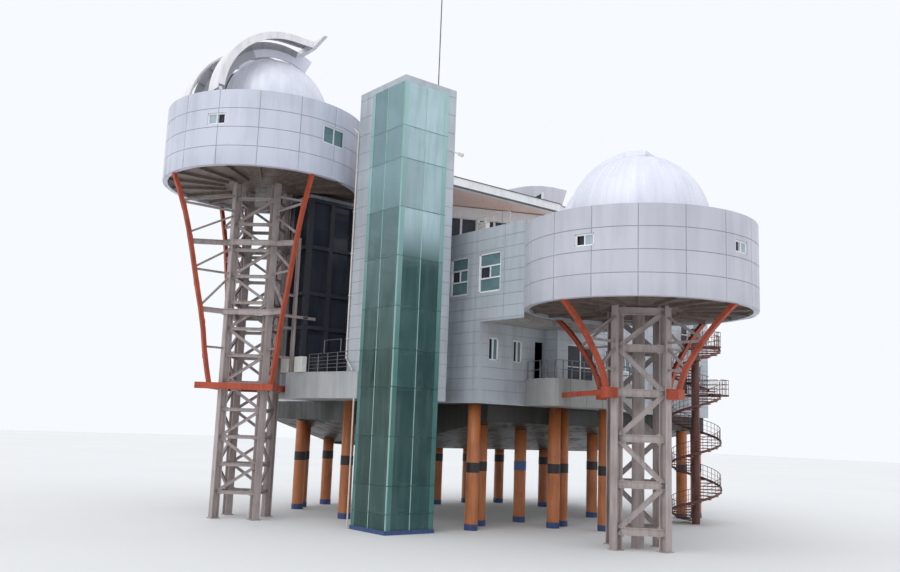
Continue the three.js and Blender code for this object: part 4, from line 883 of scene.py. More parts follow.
def tall_window(opening):
    """Three rows of lights, the middle one in two halves with one of them slid open."""
    w, h = opening.width, opening.height
    low_row, high_row = h * 0.36, h * 0.66
    bars = opening.sash(0, w, 0, h, 0.1, 0.12)
    for level in (low_row, high_row):
        bars.append(opening.bar((0, level), (w, level), 0.08, 0.11))
    bars.append(opening.bar((w / 2, low_row), (w / 2, high_row), 0.07, 0.1))
    right = w - 0.05
    panes = [opening.pane(0.05, right, 0.05, low_row), opening.pane(0.05, right, high_row, h - 0.05),
             opening.pane(w / 2, right, low_row, high_row),
             opening.pane(w * 0.42, right, low_row, high_row, SLID_BACK)]
    return bars, panes


def low_window(opening, open_light=True, open_right=False):
    """Two lights side by side, with one of them slid open behind the other."""
    w, h = opening.width, opening.height
    right, low, high = w - 0.04, 0.04, h - 0.04
    bars = opening.sash(0, w, 0, h, 0.08, 0.11)
    bars.append(opening.bar((w / 2, 0), (w / 2, h), 0.06, 0.1))
    if open_right:
        return bars, [opening.pane(low, w / 2, low, high), opening.pane(low, w * 0.58, low, high, SLID_BACK)]
    panes = [opening.pane(w / 2, right, low, high)]
    if open_light:
        panes.append(opening.pane(w * 0.42, right, low, high, SLID_BACK))
    else:
        panes.append(opening.pane(low, w / 2, low, high))
    return bars, panes


def glazed_door(opening):
    """One leaf with a rail across it, or two leaves where it is wide."""
    w, h = opening.width, opening.height
    bars = opening.sash(0, w, 0, h, 0.09, 0.11)
    if w > 1.4:
        bars.append(opening.bar((w / 2, 0), (w / 2, h), 0.09, 0.1))
    bars.append(opening.bar((0, 0.95), (w, 0.95), 0.06, 0.08))
    return bars, [opening.pane(0.05, w - 0.05, 0.05, h - 0.05)]


def row_of(first, last, count, width):
    """Where the windows of an even row start."""
    return [first + (last - first) * (i + 0.5) / count - width / 2 for i in range(count)]


def block_openings():
    """Every window and door of the block, as (kind, opening)."""
    found = []

    def window(kind, x, y, along, width):
        sill, head = WINDOW_LEVELS[kind]
        found.append((kind, Opening((x, y, sill), along, width, head - sill)))

    def door(x, y, floor, along, width, height=DOOR_HEIGHT):
        found.append(("door", Opening((x, y, floor), along, width, height)))

    for x, width in ((-0.35, 1.605), (2.205, TALL_WIDTH), (-6.0, TALL_WIDTH)):
        window("tall", x, FRONT, SOUTH_SIDE, width)
    door(-6.0, FRONT, DECK_FLOOR, SOUTH_SIDE, 1.8)
    for y, width in ((4.475, 0.77), (6.385, 0.72)):
        window("low", NICHE_EAST, y, EAST_SIDE, width)
    door(EAST, EAST_WALL_SOUTH + 0.6, DECK_FLOOR, EAST_SIDE, 2.4, 2.3)
    for kind, first, width in (("low", 4.2, LOW_WIDTH), ("tall", 3.0, TALL_WIDTH)):
        for start in row_of(first, RECESS_SOUTH - EAST_WALL_SOUTH - 0.4, 3, width):
            window(kind, EAST, EAST_WALL_SOUTH + start, EAST_SIDE, width)
    for floor in (DECK_FLOOR, UPPER_FLOOR):
        door(RECESS_EAST, LANDING_SOUTH, floor, EAST_SIDE, 0.88)
        door(-9.8, SOUTHWEST, floor, SOUTH_SIDE, 1.5)
    window("low", RECESS_EAST, 25.2, EAST_SIDE, 1.0)
    window("tall", RECESS_EAST, 25.1, EAST_SIDE, 1.2)
    window("tall", -15.2, SOUTHWEST, SOUTH_SIDE, TALL_WIDTH)
    window("low", -15.01, SOUTHWEST, SOUTH_SIDE, LOW_WIDTH)
    north_start = RECESS_EAST - WALL
    west_start = NORTH - WALL
    for kind, width in (("low", LOW_WIDTH), ("tall", TALL_WIDTH)):
        for start in row_of(0.6, north_start - WEST - 0.6, 5, width):
            window(kind, north_start - start, NORTH, NORTH_SIDE, width)
    for kind, width in (("low", LOW_WIDTH), ("tall", TALL_WIDTH)):
        for start in row_of(0.6, west_start - SOUTHWEST - 0.6, 6, width):
            window(kind, WEST, west_start - start, WEST_SIDE, width)
    return found


def drum_opening(centre, angle, width, sill, height):
    """A drum window, square to the wall at its own angle."""
    turn = math.radians(angle)
    out = Vector((math.cos(turn), math.sin(turn), 0))
    along = Vector((-math.sin(turn), math.cos(turn), 0))
    corner = centre + out * (DRUM_RADIUS - 0.03) - along * (width / 2) + Vector((0, 0, sill))
    return Opening(corner, along, width, height)


def fit_block_windows():
    """Frames, lights, and the door glass with the dark sheets behind the windows, which paint the shade
    inside.
    """
    make = {"tall": tall_window, "low": low_window, "door": glazed_door}
    frames, lights, shades = [], [], []
    for kind, opening in block_openings():
        bars, panes = make[kind](opening)
        frames += bars
        if kind == "door":
            shades += panes
        else:
            lights += panes
            shades.append(opening.shade_backing(0.06, 0.22))
    return frames, lights, shades


def fit_windows():
    frames, lights, shades = fit_block_windows()
    pale = []
    for angle in (-55, 13.6, 125, 193.6):
        small = angle in (-55, 125)
        opening = drum_opening(LEFT_DRUM, angle, *(LEFT_SMALL_WINDOW if small else LEFT_LARGE_WINDOW))
        bars, panes = low_window(opening, small, small)
        frames += bars
        (pale if small else lights).extend(panes)
        shades.append(opening.shade_backing(0.05, 0.24))
    for angle in (-75.8, 3.1, 104.2):
        opening = drum_opening(RIGHT_DRUM, angle, *RIGHT_WINDOW)
        bars, panes = low_window(opening)
        frames += bars
        pale += panes
        shades.append(opening.shade_backing(0.05, 0.24))
    fit("window_frames", frames, FRAME)
    fit("window_panes", lights, PANE)
    fit("pale_panes", pale, PALE_PANE)
    # door glass, and the dark sheets that paint the shade behind the windows
    fit("door_glass_and_shade_sheets", shades, HALL_GLASS)


# Domes

GORES = 56
SEAM_WIDTH = 0.03
SEAM_HEIGHT = 0.012
DOME_SKIRT = 0.29
SHEET = 0.06
SLIT_HALF = 1.1
SLIT_LOW = 6
SLIT_HIGH = 111


def half_sphere(centre):
    """Twice as many columns as gores, cut level a little below the centre."""
    bpy.ops.mesh.primitive_uv_sphere_add(segments=2 * GORES, ring_count=40, radius=DOME_RADIUS - SEAM_HEIGHT,
                                         location=centre)
    dome = settle()
    cut_planes(dome, [(0, 0, centre.z - DOME_SKIRT)], (0, 0, 1), clear_inner=True)
    return dome


def raise_seams(dome, centre):
    """Standing seams up the meridians, one between each two gores."""
    step = 360 / GORES

    def on_seam(a, b):
        if abs(a.z - b.z) < 0.01 or min(math.hypot(p.x - centre.x, p.y - centre.y) for p in (a, b)) < 0.5:
            return False
        turns = [math.degrees(math.atan2(p.y - centre.y, p.x - centre.x)) for p in (a, b)]
        return all(abs((turn + step / 2) % step - step / 2) < 0.3 for turn in turns)

    choose(dome, lambda edge: on_seam(*ends(dome, edge)), "EDGE")
    bevel(SEAM_WIDTH / 2)
    bpy.ops.mesh.select_mode(type="FACE")
    swell(SEAM_HEIGHT)
    leave_edit()


def thicken(dome):
    """Gives the shell its thickness, inwards."""
    activate(dome)
    modifier = dome.modifiers.new("thickness", "SOLIDIFY")
    modifier.thickness = SHEET
    modifier.offset = -1
    bpy.ops.object.modifier_apply(modifier=modifier.name)


def finish_dome(dome, side, centre, finish):
    raise_seams(dome, centre)
    thicken(dome)
    dome.name = side + "_dome_gores"
    smooth(dome, 25)
    finish_piece(dome, [finish], [side + "_dome_shell"], side + "_dome")


def right_dome():
    finish_dome(half_sphere(RIGHT_CENTRE), "right", RIGHT_CENTRE, RIGHT_DOME)


def right_shutter():
    """The closed shutter, with its two upright sides painted a little paler than the dome, as painted light.
    """
    piece = skin_of("right_dome_hood", ["right_dome_shutter"])
    side = Vector((math.cos(math.radians(285)), math.sin(math.radians(285)), 0))
    for face in piece.data.polygons:
        face.material_index = 1 if abs(face.normal.dot(side)) > 0.9 else 0
    smooth(piece, 20)
    finish_piece(piece, [RIGHT_DOME, HOOD_SIDE_PAINTED_LIGHT], ["right_dome_shutter"], "right_dome")


def left_dome():
    """A shell with a slit from its foot to behind its top."""
    dome = half_sphere(LEFT_CENTRE)
    for side in (-SLIT_HALF, SLIT_HALF):
        cut_planes(dome, [LEFT_CENTRE + Vector((side, 0, 0))], (1, 0, 0))
    for lift in (math.radians(SLIT_LOW), math.radians(SLIT_HIGH)):
        cut_planes(dome, [LEFT_CENTRE], (0, math.sin(lift), math.cos(lift)))

    def in_slit(face):
        place = face.center - LEFT_CENTRE
        lift = math.degrees(math.atan2(place.z, -place.y))
        return abs(place.x) < SLIT_HALF and SLIT_LOW < lift < SLIT_HIGH

    choose(dome, in_slit)
    bpy.ops.mesh.delete(type="FACE")
    leave_edit()
    finish_dome(dome, "left", LEFT_CENTRE, LEFT_DOME)


# Slit frame and shutters of the left dome, swept over it by angles from the front

ARCH_ACROSS = (1.11, 1.2)
ARCH_INNER = 3.66
ARCH_SEAM = 4.14
ARCH_OUTER = 4.6
ARCH_FOOT_END = 62
ARCH_WEB_END = 104
ARCH_END = 118
SHUTTER_NEAR = 1.5
SHUTTER_FAR = 2.78
SHUTTER_RADIUS = 4.74
SHUTTER_LIP = 0.05
SKIRT = 0.43
TAIL = 1.61
SKIRT_TAIL = 1.29
RAIL_HALF = 2.7


def sweep_over(across, radii, first, last, steps):
    """A rectangle between two places across the slit and two radii, swept over the left dome."""
    start = math.radians(first)
    middle = sum(radii) / 2
    place = LEFT_CENTRE + Vector((sum(across) / 2, -middle * math.cos(start), middle * math.sin(start)))
    bpy.ops.mesh.primitive_plane_add(size=1, location=place, rotation=(math.pi - start, 0, 0))
    bpy.context.active_object.scale = (across[1] - across[0], radii[1] - radii[0], 1)
    sweep = settle()
    choose(sweep)
    bpy.ops.mesh.spin(steps=steps, angle=math.radians(last - first), center=LEFT_CENTRE, axis=(1, 0, 0))
    weld()
    return sweep


def run_back(piece, length):
    """Carries the end of a sweep straight on behind the dome."""
    choose(piece, lambda face: face.normal.y > 0.99 and abs(face.center.y - LEFT_CENTRE.y) < 0.01)
    extrude((0, length, 0))
    leave_edit()
    return piece


def towards_axis(face):
    out = Vector((0, face.center.y - LEFT_CENTRE.y, face.center.z - LEFT_CENTRE.z)).normalized()
    return -face.normal.dot(out)


def shutter_half():
    """A bent sheet with a skirt on its outer edge, ribs and a lip under it, and a straight tail."""
    low = SHUTTER_RADIUS - SHEET
    inner = low - SHUTTER_LIP
    skirt_start = SHUTTER_FAR - SHEET
    lip_end = SHUTTER_NEAR + SHUTTER_LIP
    parts = [run_back(sweep_over((SHUTTER_NEAR, SHUTTER_FAR), (low, SHUTTER_RADIUS), 0.6, 90, 30), TAIL)]
    parts.append(run_back(sweep_over((skirt_start, SHUTTER_FAR), (SHUTTER_RADIUS - SKIRT, low), 4, 90, 28),
                          SKIRT_TAIL))
    for turn in range(14, 90, 15):
        parts.append(sweep_over((lip_end, skirt_start), (inner, low), turn, turn + 0.7, 1))
    parts.append(run_back(sweep_over((SHUTTER_NEAR, lip_end), (inner, low), 2, 90, 26), TAIL))
    parts.append(slab(LEFT_CENTRE + Vector((SHUTTER_NEAR, TAIL - 0.05, 4.42)),
                      LEFT_CENTRE + Vector((SHUTTER_FAR, TAIL, low + 0.01))))
    half = join("near_shutter_sheet", parts)
    skirt_side = LEFT_CENTRE.x + SHUTTER_NEAR + 0.1
    # slot 1: the sheet's inside and the skirt's inner side, painted shade on the near half and painted light
    # on the far half
    for face in half.data.polygons:
        on_skirt = face.normal.x < -0.9 and face.center.x > skirt_side
        face.material_index = 1 if towards_axis(face) > 0.5 or on_skirt else 0
    smooth(half, 20)
    return half


def shutters():
    near = shutter_half()
    mirror = Matrix.Translation((2 * LEFT_CENTRE.x, 0, 0)) @ Matrix.Scale(-1, 4, (1, 0, 0))
    far = place_stock(near.data, mirror)
    far.name = "far_shutter_sheet"
    choose(far)
    bpy.ops.mesh.flip_normals()
    leave_edit()
    finish_piece(near, [SHUTTER, SHADE_UNDER_SHUTTER], ["near_shutter"], "near_shutter_half")
    finish_piece(far, [SHUTTER, FAR_INSIDE_PAINTED_LIGHT], ["far_shutter"], "far_shutter_half")


def top_rail():
    """The cross beam that carries the shutters behind the dome's top, tapered under its two ends."""
    bpy.ops.mesh.primitive_cube_add(size=1, location=LEFT_CENTRE + Vector((0, 1.425, 4.4725)))
    bpy.context.active_object.scale = (8.9, 0.25, 0.405)
    rail = settle()
    for side in (-1, 1):
        cut_planes(rail, [LEFT_CENTRE + Vector((side * RAIL_HALF, 0, 4.27))], (side * 0.285, 0, -1.75),
                   clear_outer=True, use_fill=True)
    return rail


def slit_frame():
    """Two arches beside the slit, with grey feet and dark webs that paint the shade under the shutters, white
    ends, and the shutters' rails.
    """
    feet, tops, webs = [], [], []
    for side in (-1, 1):
        across = sorted(side * place for place in ARCH_ACROSS)
        flange = sorted((side * (ARCH_ACROSS[0] - 0.09), side * ARCH_ACROSS[0]))
        feet.append(sweep_over(across, (ARCH_INNER, ARCH_SEAM), 0, ARCH_FOOT_END, 16))
        tops.append(sweep_over(across, (ARCH_INNER, ARCH_SEAM), ARCH_FOOT_END, ARCH_END, 14))
        webs.append(sweep_over(across, (ARCH_SEAM, ARCH_OUTER), 0, ARCH_WEB_END, 26))
        tops.append(sweep_over(across, (ARCH_SEAM, ARCH_OUTER), ARCH_WEB_END, ARCH_END, 4))
        for turn in range(20, 100, 16):
            webs.append(sweep_over(flange, (ARCH_SEAM + 0.06, ARCH_OUTER - 0.05), turn, turn + 0.8, 1))
    foot_rail = slab(LEFT_CENTRE + Vector((-RAIL_HALF, -4.62, 0.02)),
                     LEFT_CENTRE + Vector((RAIL_HALF, -4.4, 0.2)))
    fit("slit_rails", [foot_rail, top_rail()], SHUTTER, ["left_slit_frame"], "left_dome")
    # the feet and the webs carry painted shade from the shutters above; the tops keep the dome's white
    fit("slit_arch_feet", feet, ARCH_FOOT_PAINTED_SHADE, body="left_dome")
    fit("slit_arch_tops", tops, LEFT_DOME, body="left_dome")
    fit("slit_webs", webs, SHADE_UNDER_SHUTTER, body="left_dome")


# Columns under the block, by place and top

COLUMN_RADIUS = 0.375
COLUMN_HEIGHT = 7.2
FOOT_TOP = 0.35
BAND_LOW = 3.2
BAND_HIGH = 3.76
BAND_THICK = 0.015
COLUMNS = [
    (1.225, 4.625, 7.09), (-0.47, 6.68, 5.87), (2.06, 10.33, 7.09), (1.4, 11.71, 7.09),
    (-1.43, 10.83, 5.7), (-2.16, 18.36, 5.58), (0.68, 24.59, 6.06), (0.68, 26.25, 6.06),
    (-9.68, 21.11, 4.3), (-13.53, 19.96, 4.25), (-14.19, 17.19, 4.25), (-13.66, 13.79, 4.25),
    (-15.72, 5.33, 4.57), (-12.96, 1.5, 5.78), (-14.3, 2.54, 5.45), (-6.54, 1.1, 7.09),
    (4.385, 12.245, 7.09),
]
BLUE_BANDED = 4


def column_stock():
    """A round column with a painted band and a painted foot, both a little proud."""
    bpy.ops.mesh.primitive_cylinder_add(vertices=32, radius=COLUMN_RADIUS, depth=COLUMN_HEIGHT,
                                        location=(0, 0, COLUMN_HEIGHT / 2))
    column = settle()
    cut_planes(column, [(0, 0, z) for z in (FOOT_TOP, BAND_LOW, BAND_HIGH)], (0, 0, 1))

    def part_of(face):
        if abs(face.normal.z) > 0.5:
            return 0
        if face.center.z < FOOT_TOP:
            return 2
        return 1 if BAND_LOW < face.center.z < BAND_HIGH else 0

    for face in column.data.polygons:
        face.material_index = part_of(face)
    choose(column, lambda face: part_of(face) > 0)
    swell(BAND_THICK)
    leave_edit()
    smooth(column, 30)
    set_finish(column.data, [COLUMN, BLACK_BAND, PLINTH])
    return keep_as_stock(column)


def banded_columns():
    stock = column_stock()
    plain, blue = [], []
    for i, (x, y, top) in enumerate(COLUMNS):
        column = place_stock(stock, Matrix.Translation((x, y, 0)))
        cut_planes(column, [(x, y, top + 0.03)], (0, 0, 1), clear_outer=True, use_fill=True)
        (blue if i == BLUE_BANDED else plain).append(column)
    finish_piece(join("banded_columns", plain), [COLUMN, BLACK_BAND, PLINTH])
    finish_piece(join("blue_banded_column", blue), [COLUMN, BLUE_BAND, PLINTH])


# Lattice towers, drawn square to their own axes and then turned, with each strut as (reach, level)

TOWER_TURN = 46
LEG_REACH = 1.7
LEG_SIZE = 0.44
BRACE_WIDTH = 0.15
LEFT_LEVELS = [1.5, 3.09, 4.68, 6.27, 7.86, 9.45, 11.04, 12.63, 14.22, 15.82, 17.42, 19.0]
RIGHT_LEVELS = [0.92, 3.19, 5.46, 7.73, 10.0, 11.9]
LEFT_STRUT = [(2.62, 7.69), (3.0, 9.3), (3.33, 11.3), (3.88, 13.5), (4.52, 16.2), (5.05, 17.95), (5.8, 19.77)]
RIGHT_STRUT = [(2.52, 7.9), (2.95, 8.95), (3.67, 9.96), (4.72, 11.12), (5.72, 11.98)]
LEFT_TIES = [(9.85, 9.85), (12.03, 12.03), (14.3, 12.3), (14.35, 14.35), (16.0, 14.5), (16.25, 15.95),
             (18.0, 16.5), (18.2, 18.2), (19.2, 18.3)]
RIGHT_TIES = [(8.9, 8.9), (10.3, 10.3), (10.2, 9.0), (11.7, 10.4)]
BELT_LEVELS = (12.03, 16.25)
BELT_REACH = 1.502
PIER_RADIUS = 0.32
COLLAR_HALF = 0.12
COLLAR_SIZE = (0.26, 0.25)


def leg_turn(index):
    return math.radians(-135 + 90 * index)


def corner_point(index, reach, z):
    return Vector((reach * math.cos(leg_turn(index)), reach * math.sin(leg_turn(index)), z))


def strut_reach(path, z):
    """How far out the curved strut is at a level."""
    for (r0, z0), (r1, z1) in zip(path, path[1:]):
        if z <= z1:
            return r0 + (r1 - r0) * (z - z0) / (z1 - z0)
    return path[-1][0]


def face_bracing(index, levels, level_depth, diagonal_depth):
    """Beams and diagonals between two legs, with a gusset plate at each joint."""
    parts = []
    for i, level in enumerate(levels):
        a, b = corner_point(index, LEG_REACH, level), corner_point(index + 1, LEG_REACH, level)
        parts.append(member(BEAM, a, b, level_depth, BRACE_WIDTH))
        run = (b - a).normalized()
        half = Vector((0, 0, level_depth * 0.7))
        for middle in (a + run * 0.3, b - run * 0.3):
            parts.append(member(BAR, middle - half, middle + half, 0.2, 0.025, run))
        if i + 1 < len(levels):
            low, high = (index, index + 1) if i % 2 == 0 else (index + 1, index)
            foot, head = corner_point(low, LEG_REACH, level), corner_point(high, LEG_REACH, levels[i + 1])
            parts.append(member(BEAM, foot, head, diagonal_depth, BRACE_WIDTH))
    return parts


def tower_leg(index, top):
    """A leg on its foot plate."""
    radial = corner_point(index, 1, 0)
    plate = [corner_point(index, LEG_REACH + side * 0.3, 0.02) for side in (-1, 1)]
    return [member(BEAM, corner_point(index, LEG_REACH, 0), corner_point(index, LEG_REACH, top),
                   LEG_SIZE, LEG_SIZE, radial),
            member(BAR, *plate, 0.6, 0.04, radial.cross(Vector((0, 0, 1))))]


def strut_ties(index, path, ties):
    """Ties from the leg to the curved strut, given by their two levels, the belts' ones deeper."""
    parts = []
    for leg_z, strut_z in ties:
        far = corner_point(index, strut_reach(path, strut_z) - 0.1, strut_z)
        size = (0.3, 0.2) if leg_z in BELT_LEVELS else (0.12, 0.12)
        parts.append(member(BEAM, corner_point(index, LEG_REACH, leg_z), far, *size))
    return parts


def turn_on_site(piece, centre):
    turn = Matrix.Rotation(math.radians(TOWER_TURN), 4, "Z")
    piece.data.transform(Matrix.Translation((centre.x, centre.y, 0)) @ turn)


def lattice_tower(side, centre, levels, depths, top, struts, path, ties, extra):
    parts = []
    for index in range(4):
        parts += tower_leg(index, top)
        parts += face_bracing(index, levels, *depths)
        if index in struts:
            parts += strut_ties(index, path, ties)
    tower = join(side + "_lattice", parts + extra)
    turn_on_site(tower, centre)
    finish_piece(tower, [LATTICE], [side + "_tower"])


def strut_collars(side, centre, path, struts):
    """Splice plates that wrap each curved strut where its lengths meet."""
    parts = []
    for index in struts:
        for before, here, after in zip(path, path[1:], path[2:]):
            along = Vector((after[0] - before[0], 0, after[1] - before[1])).normalized()
            middle = Vector((here[0], 0, here[1]))
            collar = member(BAR, middle - along * COLLAR_HALF, middle + along * COLLAR_HALF, *COLLAR_SIZE,
                            along.cross(Vector((0, 1, 0))))
            collar.data.transform(Matrix.Rotation(leg_turn(index), 4, "Z"))
            parts.append(collar)
    collars = join(side + "_strut_splices", parts)
    turn_on_site(collars, centre)
    finish_piece(collars, [ORANGE])


def left_tower():
    """The tall tower, with two belts round its legs."""
    belts = []
    for level in BELT_LEVELS:
        for index in range(4):
            corners = [corner_point(i, BELT_REACH * math.sqrt(2), level) for i in (index, index + 1)]
            belts.append(member(BEAM, *corners, 0.34, 0.12))
    lattice_tower("left", LEFT_DRUM, LEFT_LEVELS, (0.19, 0.16), 19.969, (0, 1, 3),
                  LEFT_STRUT, LEFT_TIES, belts)


def right_tower():
    """The short tower, with a round pier in its middle and crossed beams to it."""
    level = RIGHT_LEVELS[3]
    top = 12.179
    middle = [rod((0, 0, 0), (0, 0, top), PIER_RADIUS * 2)]
    for index in (0, 1):
        corners = [corner_point(i, LEG_REACH, level) for i in (index, index + 2)]
        middle.append(member(BEAM, *corners, 0.26, BRACE_WIDTH))
    lattice_tower("right", RIGHT_DRUM, RIGHT_LEVELS, (0.38, 0.26), top, (0, 1, 2, 3),
                  RIGHT_STRUT, RIGHT_TIES, middle)


# Spiral stair

STAIR = Vector((3.773, 22.005, 0))
STAIR_POLE = 0.27
STAIR_RADIUS = 1.69
RAIL_RADIUS = 1.6
STEPS_PER_TURN = 16
STAIR_START = 137
STAIR_STEPS = 62
STEP_RISE = 3.068 / STEPS_PER_TURN
HANDRAIL = 1.0
BALUSTER = 0.026
RAIL_RUNS = [(0, 44), (46, 61)]
LANDING_SOUTH = 23.71
LANDING_NORTH = 24.61


def stair_point(step, radius, lift=0.0):
    turn = math.radians(STAIR_START + 360 * step / STEPS_PER_TURN)
    return STAIR + Vector((radius * math.cos(turn), radius * math.sin(turn), STEP_RISE * step + lift))


def tread_stock():
    """One tread: a strip spun through its share of a turn and hollowed from below."""
    sweep = math.radians(360 / STEPS_PER_TURN + 2)
    inner = STAIR_POLE - 0.02
    bpy.ops.mesh.primitive_plane_add(size=1, location=((STAIR_RADIUS + inner) / 2, 0, -0.025))
    strip = bpy.context.active_object
    strip.scale = (STAIR_RADIUS - inner, 0.05, 1)
    strip.rotation_euler = (math.radians(90), 0, 0)
    tread = settle()
    choose(tread)
    bpy.ops.mesh.spin(steps=3, angle=sweep, center=(0, 0, 0), axis=(0, 0, -1))
    weld()
    choose(tread, lambda face: face.normal.z < -0.9)
    bpy.ops.mesh.inset(thickness=0.035, use_individual=False)
    extrude((0, 0, 0.03))
    leave_edit()
    return keep_as_stock(tread)


def stair_rail(step):
    """Half a step of the outer rail: three level rods, the edge board and one baluster."""
    parts = []
    for lift, thick in ((HANDRAIL, 0.04), (HANDRAIL * 0.66, 0.022), (HANDRAIL * 0.36, 0.022)):
        start, end = stair_point(step, RAIL_RADIUS, lift), stair_point(step + 0.5, RAIL_RADIUS, lift)
        parts.append(rod(start, end, thick))
    board = [stair_point(step + half, RAIL_RADIUS + 0.06, 0.1) for half in (0, 0.5)]
    parts.append(member(BAR, *board, 0.16, 0.02))
    parts.append(post(stair_point(step + 0.25, RAIL_RADIUS), HANDRAIL, BALUSTER))
    return parts


def spiral_stair():
    stock = tread_stock()
    treads, rails = [], []
    for i in range(STAIR_STEPS):
        turn = Matrix.Rotation(math.radians(STAIR_START + 360 / STEPS_PER_TURN * i), 4, "Z")
        treads.append(place_stock(stock, Matrix.Translation((STAIR.x, STAIR.y, STEP_RISE * (i + 1))) @ turn))
    treads.append(rod(STAIR, STAIR + Vector((0, 0, UPPER_FLOOR + HANDRAIL)), STAIR_POLE * 2))
    for first, last in RAIL_RUNS:
        for half in range(first * 2, last * 2):
            rails += stair_rail(half / 2)
    for level in (DECK_FLOOR, UPPER_FLOOR):
        rails += stair_landing(level)
    fit("stair_treads", treads, STAIR_PAINT, ["spiral_stair"])
    fit("stair_rails", rails, STAIR_PAINT)


def stair_landing(level):
    """The floor from the door to its tread, on two joists, with a rail on its open sides."""
    tread = min(STAIR_STEPS, round(level / STEP_RISE))
    a, b = stair_point(tread - 1, STAIR_RADIUS), stair_point(tread, STAIR_RADIUS)
    wall_side = RECESS_EAST + 0.001
    edge = (a.x + b.x) / 2
    under = level - 0.05
    south, north, east = LANDING_SOUTH + 0.02, LANDING_NORTH - 0.02, edge - 0.02
    parts = [slab((wall_side, LANDING_SOUTH, under), (edge, LANDING_NORTH, level)),
             slab((b.x, a.y - 0.06, under), (edge, LANDING_SOUTH, level))]
    for y in (LANDING_SOUTH + 0.06, LANDING_NORTH - 0.06):
        parts.append(slab((wall_side, y - 0.05, level - 0.12), (edge, y + 0.05, under)))
    for start, end in (((wall_side, south), (b.x - 0.05, south)), ((wall_side, north), (east, north)),
                       ((east, north), (east, LANDING_SOUTH))):
        start, end = Vector((*start, level)), Vector((*end, level))
        for lift in (0.4, 0.7, 1.0):
            parts.append(rod(start + Vector((0, 0, lift)), end + Vector((0, 0, lift)), 0.04))
        count = max(2, round((end - start).length / 0.25))
        for k in range(count + 1):
            parts.append(post(start.lerp(end, k / count), HANDRAIL, BALUSTER))
    return parts


# Lift shaft

SHAFT_X = 1.625
SHAFT_Y = 1.575
GLASS_LOW = 0.221
GLASS_TOP = 24.87
SHAFT_FOOT = 0.25
POST_TOP = 24.8
LINING_TOP = 16.4


def shaft_seams():
    """Seams between the panes, slim trim and the paler laps at the edges, just proud of the glass."""
    x, y, proud = SHAFT_X + 0.006, SHAFT_Y + 0.006, 0.012
    dark, pale, laps = [], [], []
    for z in TRANSOMS:
        dark.append(slab((-SHAFT_X, -y - 0.004, z - 0.022), (x, -y + proud, z + 0.022)))
        dark.append(slab((x - proud, -y, z - 0.022), (x + 0.004, SHAFT_Y, z + 0.022)))
    for place in (-0.03, SHAFT_X - 0.05):
        pale.append(slab((place, -y - 0.002, GLASS_LOW), (place + 0.05, -y + proud, GLASS_TOP)))
    for place in (-SHAFT_Y, -0.03):
        pale.append(slab((x - proud, place, GLASS_LOW), (x + 0.002, place + 0.05, GLASS_TOP)))
    laps.append(slab((-SHAFT_X, -y, GLASS_LOW), (-SHAFT_X + 0.3, -y + proud, GLASS_TOP)))
    for low, high in ((-SHAFT_Y, -SHAFT_Y + 0.34), (SHAFT_Y - 0.3, SHAFT_Y)):
        laps.append(slab((x - proud, low, GLASS_LOW), (x, high, GLASS_TOP)))
    fit("shaft_seams", dark, SEAM)
    fit("shaft_trim", pale, MULLION)
    fit("shaft_laps", laps, EDGE_GLASS)


def shaft_post(x, y, size, top=POST_TOP, **turned):
    return member(BEAM, (x, y, SHAFT_FOOT), (x, y, top), *size, **turned)


def shaft_posts():
    """Pale posts behind the glass and dark lining on the two solid walls, which paints the shade inside the
    shaft.
    """
    posts = []
    east, south = SHAFT_X - 0.25, 0.25 - SHAFT_Y
    for x, y in ((east, south), (0.2 - SHAFT_X, south), (east, SHAFT_Y - 0.2)):
        posts.append(shaft_post(x, y, (0.26, 0.26), side=(1, 0, 0)))
    for x, y in ((0.0, -SHAFT_Y + 0.16), (SHAFT_X - 0.16, 0.0)):
        posts.append(shaft_post(x, y, (0.1, 0.1)))
    fit("shaft_posts", posts, MULLION)
    lining = [slab((-SHAFT_X + 0.03, SHAFT_Y - 0.05, SHAFT_FOOT),
                   (SHAFT_X - 0.45, SHAFT_Y - 0.01, LINING_TOP)),
              slab((-SHAFT_X + 0.01, -SHAFT_Y + 0.4, SHAFT_FOOT),
                   (-SHAFT_X + 0.05, SHAFT_Y - 0.06, LINING_TOP))]
    fit("shaft_shade_lining", lining, PAINTED_SHADE_LINING)


def lift_rails():
    """Four guide rails, with a cross beam between the rear two at each seam."""
    reach, rear, front = 1.1, 0.9, -0.8
    parts = [shaft_post(x, y, (0.12, 0.1), 24.5) for y in (rear, front) for x in (-reach, reach)]
    for z in TRANSOMS:
        parts.append(member(BEAM, (-reach, rear, z), (reach, rear, z), 0.12, 0.08))
    fit("lift_rails", parts, RAIL_PALE)


# Top storey

FASCIA_TOP = 20.02
FASCIA_FOOT = 19.56
PENTHOUSE_SILL = 16.9
PENTHOUSE_LIGHT = 1.85
GABLE = -2.375


def canopy():
    """White fascia with a dark line along its top and its foot, and a salmon ceiling inside a pale border."""
    piece = skin_of("terrace_canopy", ["canopy_roof"])
    cut_planes(piece, [(0, 0, FASCIA_TOP), (0, 0, FASCIA_FOOT)], (0, 0, 1))
    choose(piece, lambda face: face.normal.z < -0.9)
    bpy.ops.mesh.inset(thickness=0.35, use_individual=False)
    extrude((0, 0, 0.06))
    leave_edit()

    def upright(face):
        return abs(face.normal.z) < 0.1

    for face in piece.data.polygons:
        if face.select:
            face.material_index = 1
        elif face.normal.z > 0.9:
            face.material_index = 3
        elif upright(face) and (face.center.z > FASCIA_TOP or face.center.z < FASCIA_FOOT):
            face.material_index = 2
        else:
            face.material_index = 0
    choose(piece, lambda face: upright(face) and FASCIA_FOOT < face.center.z < FASCIA_TOP)
    bpy.ops.mesh.inset(thickness=0.02, use_individual=False)
    swell(-0.03)
    leave_edit()
    finish_piece(piece, [FRAME, SALMON, COPING, ROOF], ["canopy_roof"])


